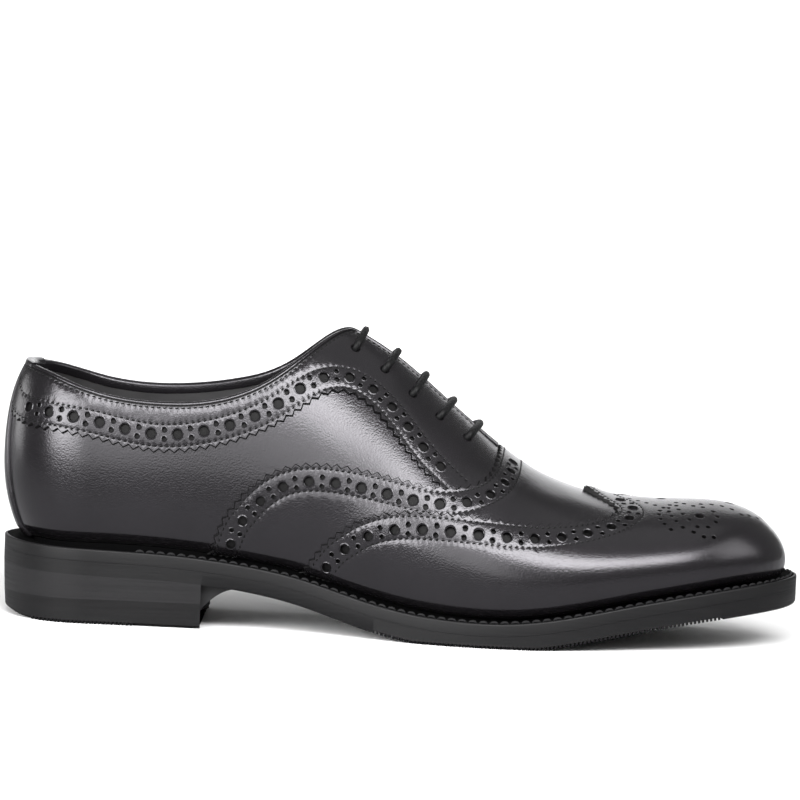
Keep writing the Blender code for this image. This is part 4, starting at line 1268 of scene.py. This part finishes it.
def heel():
    """The heel's stack, its sweep into the waist, and its top piece with ribs and a recessed foot."""
    def at(inset):
        return loop(edge_width(SOLE_LIP - inset), HEEL_STEPS, HEEL_BREAST_X)

    def across(sides, height):
        return rungs(sides, height, HEEL_BREAST_BOW)

    waist, foot, recessed = at(HEEL_TAPER / 2), at(HEEL_TAPER), at(HEEL_TAPER + HEEL_RECESS)
    body = stack([across(at(0.0), outsole_bottom), across(waist, heel_split)])
    body = joined([body, sweep(at(SWEEP_INSET))])
    piece("heel_stack_body", *body, [HEEL_RUBBER], "heel_rubber", ["heel_stack"])
    floor = raised(heel_floor, HEEL_TREAD, RIB_DEPTH - RIB_SINK)
    strip, ribs_top = level(heel_floor, -RIB_DEPTH), level(heel_floor, -RIB_DEPTH - RIB_SINK)
    places = (waist, heel_split), (foot, strip), (recessed, strip), (recessed, floor)
    body = stack([across(*place) for place in places])
    ribs = tread(HEEL_TREAD, heel_floor, ribs_top, (at(HEEL_TAPER + RIB_INSET), foot))
    piece("heel_top_tread", *joined([body, ribs]), [SOLE_RUBBER], "heel_rubber", ["heel_top_piece"])


def sweep(sides):
    """The hollow web from the heel's breast forward into the waist."""
    breast = rungs([side[-2:] for side in sides], outsole_bottom, HEEL_BREAST_BOW)[-1]
    share = np.linspace(1 + SWEEP_SINK, 0, SWEEP_STEPS)[:, None]
    x = breast[None, :, 0] + SWEEP_AHEAD * (1 - share)
    y = np.broadcast_to(breast[None, :, 1], x.shape)
    under = outsole_bottom(x)
    low = under - SWEEP_DOWN * share**SWEEP_POWER
    return stack([np.stack([x, y, z], axis=-1) for z in (under + SWEEP_SINK, low)])


def insole():
    """The sock on the insole, seen inside the collar."""
    seat = loop(INSOLE_INSET, SOLE_STEPS // 2)
    inner = loop(INSOLE_INSET - INSOLE_BEVEL, SOLE_STEPS // 2)
    top = level(seat_height, -GAP - INSOLE_THICK)
    places = (inner, top), (seat, level(top, INSOLE_BEVEL_DROP)), (seat, level(seat_height, -GAP))
    body = stack([rungs(*place) for place in places])
    piece("insole_sock", *body, [LINING], "lining_leather", ["insole"])


# Tongue, collar roll, back stay and laces

TONGUE_TOP, TONGUE_FOOT, TONGUE_SHARE = -25.0, 46.0, 0.74
TONGUE_OUTER, TONGUE_INNER = -2.6, -4.4
TONGUE_ROWS, TONGUE_COLUMNS = 60, 16


def tongue():
    """The tongue under the facings."""
    half = np.linspace(TONGUE_SHARE, 1, TONGUE_COLUMNS)
    share = np.concatenate([half, half[-2::-1]])
    side = np.where(np.arange(len(share)) < TONGUE_COLUMNS, LATERAL, MEDIAL)
    a, t = np.meshgrid(np.linspace(TONGUE_TOP, TONGUE_FOOT, TONGUE_ROWS), share, indexing="ij")
    side = np.broadcast_to(side, a.shape)
    body = stack([lifted(a, t, side, lift) for lift in (TONGUE_OUTER, TONGUE_INNER)])
    piece("tongue_leather", *body, [CALF], "upper_leather", ["tongue"])


# Cross-sections of the roll over the top edge and of the tab at its back: down from the edge, and lift.
ROLL = (
    (1.1, 1.3), (0.85, 1.66), (0.4, 1.72), (-0.05, 1.5), (-0.4, 1.0), (-0.52, 0.3), (-0.45, -0.4),
    (-0.2, -0.95), (0.3, -1.3), (3.0, -1.6), (3.1, -1.0), (0.9, 0.4),
)
TAB = (
    (1.3, 1.9), (0.5, 2.15), (-0.4, 1.95), (-1.0, 1.2), (-1.25, 0.2), (-1.1, -0.9), (-0.5, -1.7),
    (1.0, -2.2), (8.0, -2.9), (8.2, -2.4), (1.0, -0.5),
)
TAB_HALF = 13.0


def rolled(line, side, profile):
    """A folded strip along a chart line, from its cross-section."""
    base, normal = on_last(line), normals_at(line)
    across = unit(np.cross(normal, np.gradient(base, axis=0))) * side
    rows = np.stack([base + across * down + normal * lift for down, lift in profile], axis=1)
    count = len(profile)
    faces = grid_faces(len(line), count, closed=True).tolist()
    faces += [list(range(count)), list(range(len(line) * count - count, len(line) * count))[::-1]]
    if side == MEDIAL:
        faces = [face[::-1] for face in faces]
    return rows.reshape(-1, 3), faces


def collar_roll():
    """The folded leather along the collar and down the throat, with a tab folded over at the back."""
    backs = {side: line[lengths_along(on_last(line)) < TAB_HALF] for side, line in TOP_LINES.items()}
    meshes = [rolled(line, side, ROLL) for side, line in TOP_LINES.items()]
    meshes += [rolled(line, side, TAB) for side, line in backs.items()]
    piece("collar_roll", *joined(meshes), [CALF], "upper_leather")


STAY_ROWS = 90
# Across the stay from the seam: share of its half width, and share of its lift.
STAY_PROFILE = ((0.0, 1.0), (0.7, 1.0), (0.9, 0.98), (0.97, 0.9), (1.0, 0.6))


def back_stay():
    """The strip over the back seam."""
    run, share = STAY(np.linspace(0, 1, STAY_ROWS))
    share = share * TOP_EDGE_ROWS[0][1] / share[-1]
    outs, lifts = np.array(STAY_PROFILE).T
    k = np.concatenate([-outs[::-1], outs[1:]])
    lift = np.interp(np.abs(k), outs, lifts) * STAY_LIFT
    a = BACK_SEAM + (station_of(run) - BACK_SEAM)[:, None] * np.abs(k)[None]
    t = np.broadcast_to(share[:, None], a.shape)
    side = np.broadcast_to(np.where(k > 0, LATERAL, MEDIAL), a.shape)
    under = -feather_pull(a, t, side)
    body = stack([lifted(a, t, side, lift + under), lifted(a, t, side, under)])
    piece("back_stay_strip", *body, [CALF], "upper_leather", ["back_stay"])


LACE_RADIUS, LACE_CLEAR, LACE_BEND = 1.4, 0.05, 0.25
LACE_LIFT = FACING_LIFT + LACE_RADIUS + LACE_CLEAR
LACE_STEP, LACE_SIDES = 0.22, 28
BRAID_STRANDS, BRAID_PITCH, BRAID_DEPTH = 6, 5.0, 0.22
BRAID_SIDEWAYS = np.array([1.0, 0, 0.6])
# From an eyelet to the ridge: share of the way, and lift. The rest of the way keeps the last lift.
LACE_DIP = ((0.0, -2.2), (0.0, 0.0), (0.015, 1.7), (0.06, LACE_LIFT - LACE_BEND), (0.14, LACE_LIFT))
LACE_OVER, LACE_OVER_POINTS = 0.24, 8


def lace_path(eyelet, share, crossing):
    """A bar from inside one eyelet, over the facings, into the other."""
    shares, lifts = np.array(LACE_DIP).T
    k = np.concatenate([shares, np.linspace(LACE_OVER, 1, LACE_OVER_POINTS)])
    lift = np.concatenate([lifts, np.full(LACE_OVER_POINTS, LACE_LIFT)])
    a, t = eyelet + (crossing - eyelet) * (1 - (1 - k) ** 2), share + (1 - share) * k
    half = [lifted(a, t, side, lift) for side in SIDES]
    points = np.concatenate([half[0], half[1][-2::-1]])
    at = lengths_along(points)
    want = np.arange(0, at[-1], LACE_STEP)
    return np.stack([spline(at, column)(want) for column in points.T], axis=1)


def braided(path, radius):
    """A round braided cord along a path."""
    along = unit(np.gradient(path, axis=0))
    first = unit(np.cross(along, BRAID_SIDEWAYS))
    second = np.cross(along, first)
    turn = turns(LACE_SIDES)
    run = lengths_along(path)[:, None] * 2 * math.pi / BRAID_PITCH
    strands = np.maximum(np.sin(BRAID_STRANDS * turn + run), np.sin(BRAID_STRANDS * turn - run))
    size = radius - BRAID_DEPTH * (1 - strands) / 2
    circle = first[:, None] * np.cos(turn)[None, :, None] + second[:, None] * np.sin(turn)[None, :, None]
    points = path[:, None] + circle * size[..., None]
    return points.reshape(-1, 3), [face[::-1] for face in tube_faces(len(path), LACE_SIDES)]


def laces():
    for number, (eyelet, share, crossing) in enumerate(LACE_BARS, 1):
        body = braided(lace_path(eyelet, share, crossing), LACE_RADIUS)
        piece(f"lace_cord_{number}", *body, [LACE], "lace_cord", [f"lace_bar_{number}"])


shell()
for shoe_side in SIDES:
    facing(shoe_side)
vamp()
wing()
back_stay()
collar_roll()
tongue()
insole()
welt()
outsole()
heel()
laces()


# Floor, lights and camera

FLOOR_WIDTH, FLOOR_FRONT, MIRROR_FRONT, MIRROR_LIFT = 4.0, -5.0, -0.42, 0.0002
BACKDROP_Y, BACKDROP_HEIGHT, BACKDROP_BEND, BEND_STEPS = 3.0, 2.2, 0.5, 12
FLOOR_WHITE, MIRROR_WHITE, MIRROR_GREY = (0.9, 0.9, 0.9), (0.75, 0.75, 0.76), (0.37, 0.37, 0.38)
MIRROR_WALL_WIDTH, MIRROR_WALL_HEIGHT, MIRROR_WALL_Y = 0.65, 1.3, 1.6
SHEET_ROUGHNESS = 0.9


def sheet(name, profile, half_width, colour, mirrored):
    """A wide matt sheet of the stage, from its places along and up. The camera sees it, or the leather
    mirrors it."""
    points = [(x, y, z) for y, z in profile for x in (-half_width, half_width)]
    faces = [(2 * i, 2 * i + 1, 2 * i + 3, 2 * i + 2) for i in range(len(profile) - 1)]
    mesh = bpy.data.meshes.new(name)
    mesh.from_pydata(points, [], faces)
    mesh.materials.append(shader_of(name, colour, SHEET_ROUGHNESS, Specular_IOR_Level=0.0)[0])
    mesh.shade_smooth()
    thing = linked(name, mesh)
    thing.visible_glossy = mirrored
    if mirrored:
        thing.visible_camera = False
        thing.visible_diffuse = False
        thing.visible_shadow = False


def studio():
    """A white floor that runs up into a backdrop. The leather mirrors a greyer floor, which ends a little
    way in front of the shoe, and a narrower backdrop."""
    angles = np.linspace(0, math.pi / 2, BEND_STEPS)
    bend = [(BACKDROP_BEND * (math.sin(t) - 1), BACKDROP_BEND * (1 - math.cos(t))) for t in angles]
    wall = [(FLOOR_FRONT, 0.0)] + [(BACKDROP_Y + y, z) for y, z in bend] + [(BACKDROP_Y, BACKDROP_HEIGHT)]
    sheet("backdrop", wall, FLOOR_WIDTH, FLOOR_WHITE, False)
    back = MIRROR_WALL_Y - BACKDROP_BEND
    mirrored_floor = [(y, MIRROR_LIFT) for y in (MIRROR_FRONT, back)]
    sheet("floor_mirrored", mirrored_floor, FLOOR_WIDTH, MIRROR_GREY, True)
    mirrored_wall = [(MIRROR_WALL_Y + y, z + MIRROR_LIFT) for y, z in bend]
    mirrored_wall.append((MIRROR_WALL_Y, MIRROR_WALL_HEIGHT))
    sheet("backdrop_mirrored", mirrored_wall, MIRROR_WALL_WIDTH, MIRROR_WHITE, True)


# Lamps: the way to each from the shoe, as azimuth from the camera's side towards the toe and elevation in
# degrees, then distance, width and height in metres, watts, and the angle that its beam spreads to.
LAMP_COLUMNS = "name azimuth elevation distance width height power spread"
LAMP_ROWS = (
    ("key_box", 15, 38.5, 1.4, 1.5, 0.55, 7.6, 75),
    ("front_box", -10, 15, 1.4, 0.9, 0.65, 1.0, 75),
    ("heel_box", -43, 18, 1.3, 0.9, 0.6, 3.5, 70),
    ("back_box", -115, 4, 1.3, 0.5, 0.5, 0.35, 75),
    ("toe_box", 80, 31, 1.3, 0.8, 0.8, 0.9, 75),
    ("top_box", 90, 80, 1.5, 1.4, 1.2, 0.9, 120),
)
# Lamps for the backdrop: their places, the points that they face, width and height, watts and spread.
BACKDROP_COLUMNS = "name place target size power spread"
BACKDROP_ROWS = (
    ("backdrop_box", (0.0, 0.9, 1.6), (0.0, 1.4, 0.4), (2.4, 0.5), 20, 100),
    ("far_box", (0.0, 2.1, 1.8), (0.0, 2.6, 0.0), (3.0, 0.8), 26, 110),
)
LAMP_AIM = Vector((0.0, 0.0, 0.06))
WORLD_STRENGTH = 0.18


def softbox(name, place, target, size, power, spread):
    """A rectangular lamp facing a point."""
    lamp = bpy.data.lights.new(name, "AREA")
    lamp.shape = "RECTANGLE"
    lamp.size, lamp.size_y = size
    lamp.energy = power
    lamp.spread = math.radians(spread)
    thing = linked(name, lamp)
    thing.location = place
    thing.rotation_euler = (Vector(target) - Vector(place)).to_track_quat("-Z", "Y").to_euler()
    thing.visible_camera = False


def lamps():
    """The soft lamps round the shoe, and two for the backdrop."""
    for row in named(LAMP_COLUMNS, LAMP_ROWS):
        az, el = math.radians(row["azimuth"]), math.radians(row["elevation"])
        way = Vector((math.sin(az) * math.cos(el), -math.cos(az) * math.cos(el), math.sin(el)))
        size = row["width"], row["height"]
        softbox(row["name"], LAMP_AIM + way * row["distance"], LAMP_AIM, size, row["power"], row["spread"])
    for row in named(BACKDROP_COLUMNS, BACKDROP_ROWS):
        softbox(**row)


def room():
    """An even dim light from all round."""
    world = bpy.data.worlds.new("room")
    world.use_nodes = True
    background = world.node_tree.nodes["Background"]
    background.inputs["Color"].default_value = (1, 1, 1, 1)
    background.inputs["Strength"].default_value = WORLD_STRENGTH
    bpy.context.scene.world = world
    bpy.context.scene.view_settings.view_transform = "Standard"


CAMERA_TARGET = np.array([-1.87, 0.0, 87.75])
CAMERA_DISTANCE = 2000.0
CAMERA_SCALE = 2.594
CAMERA_ELEVATION, CAMERA_YAW, CAMERA_ROLL = (math.radians(v) for v in (5.06, -0.96, 2.41))
SENSOR_MM, IMAGE_PIXELS, CLIP_METRES = 36.0, 800.0, 20


def camera():
    """The camera at the photograph's angle to the shoe."""
    rows = (-CAMERA_YAW, "Z"), (math.pi / 2 - CAMERA_ELEVATION, "X"), (CAMERA_ROLL, "Z")
    yaw, pitch, roll = (Matrix.Rotation(angle, 4, axis) for angle, axis in rows)
    axes = yaw @ pitch @ roll
    place = (CAMERA_TARGET + np.array(axes.col[2][:3]) * CAMERA_DISTANCE - ORIGIN) * MM
    lens = bpy.data.cameras.new("camera")
    lens.sensor_width = SENSOR_MM
    lens.lens = CAMERA_SCALE * CAMERA_DISTANCE * SENSOR_MM / IMAGE_PIXELS
    lens.clip_end = CLIP_METRES
    thing = linked("camera", lens)
    thing.matrix_world = Matrix.Translation(place.tolist()) @ axes
    bpy.context.scene.camera = thing


studio()
lamps()
room()
camera()
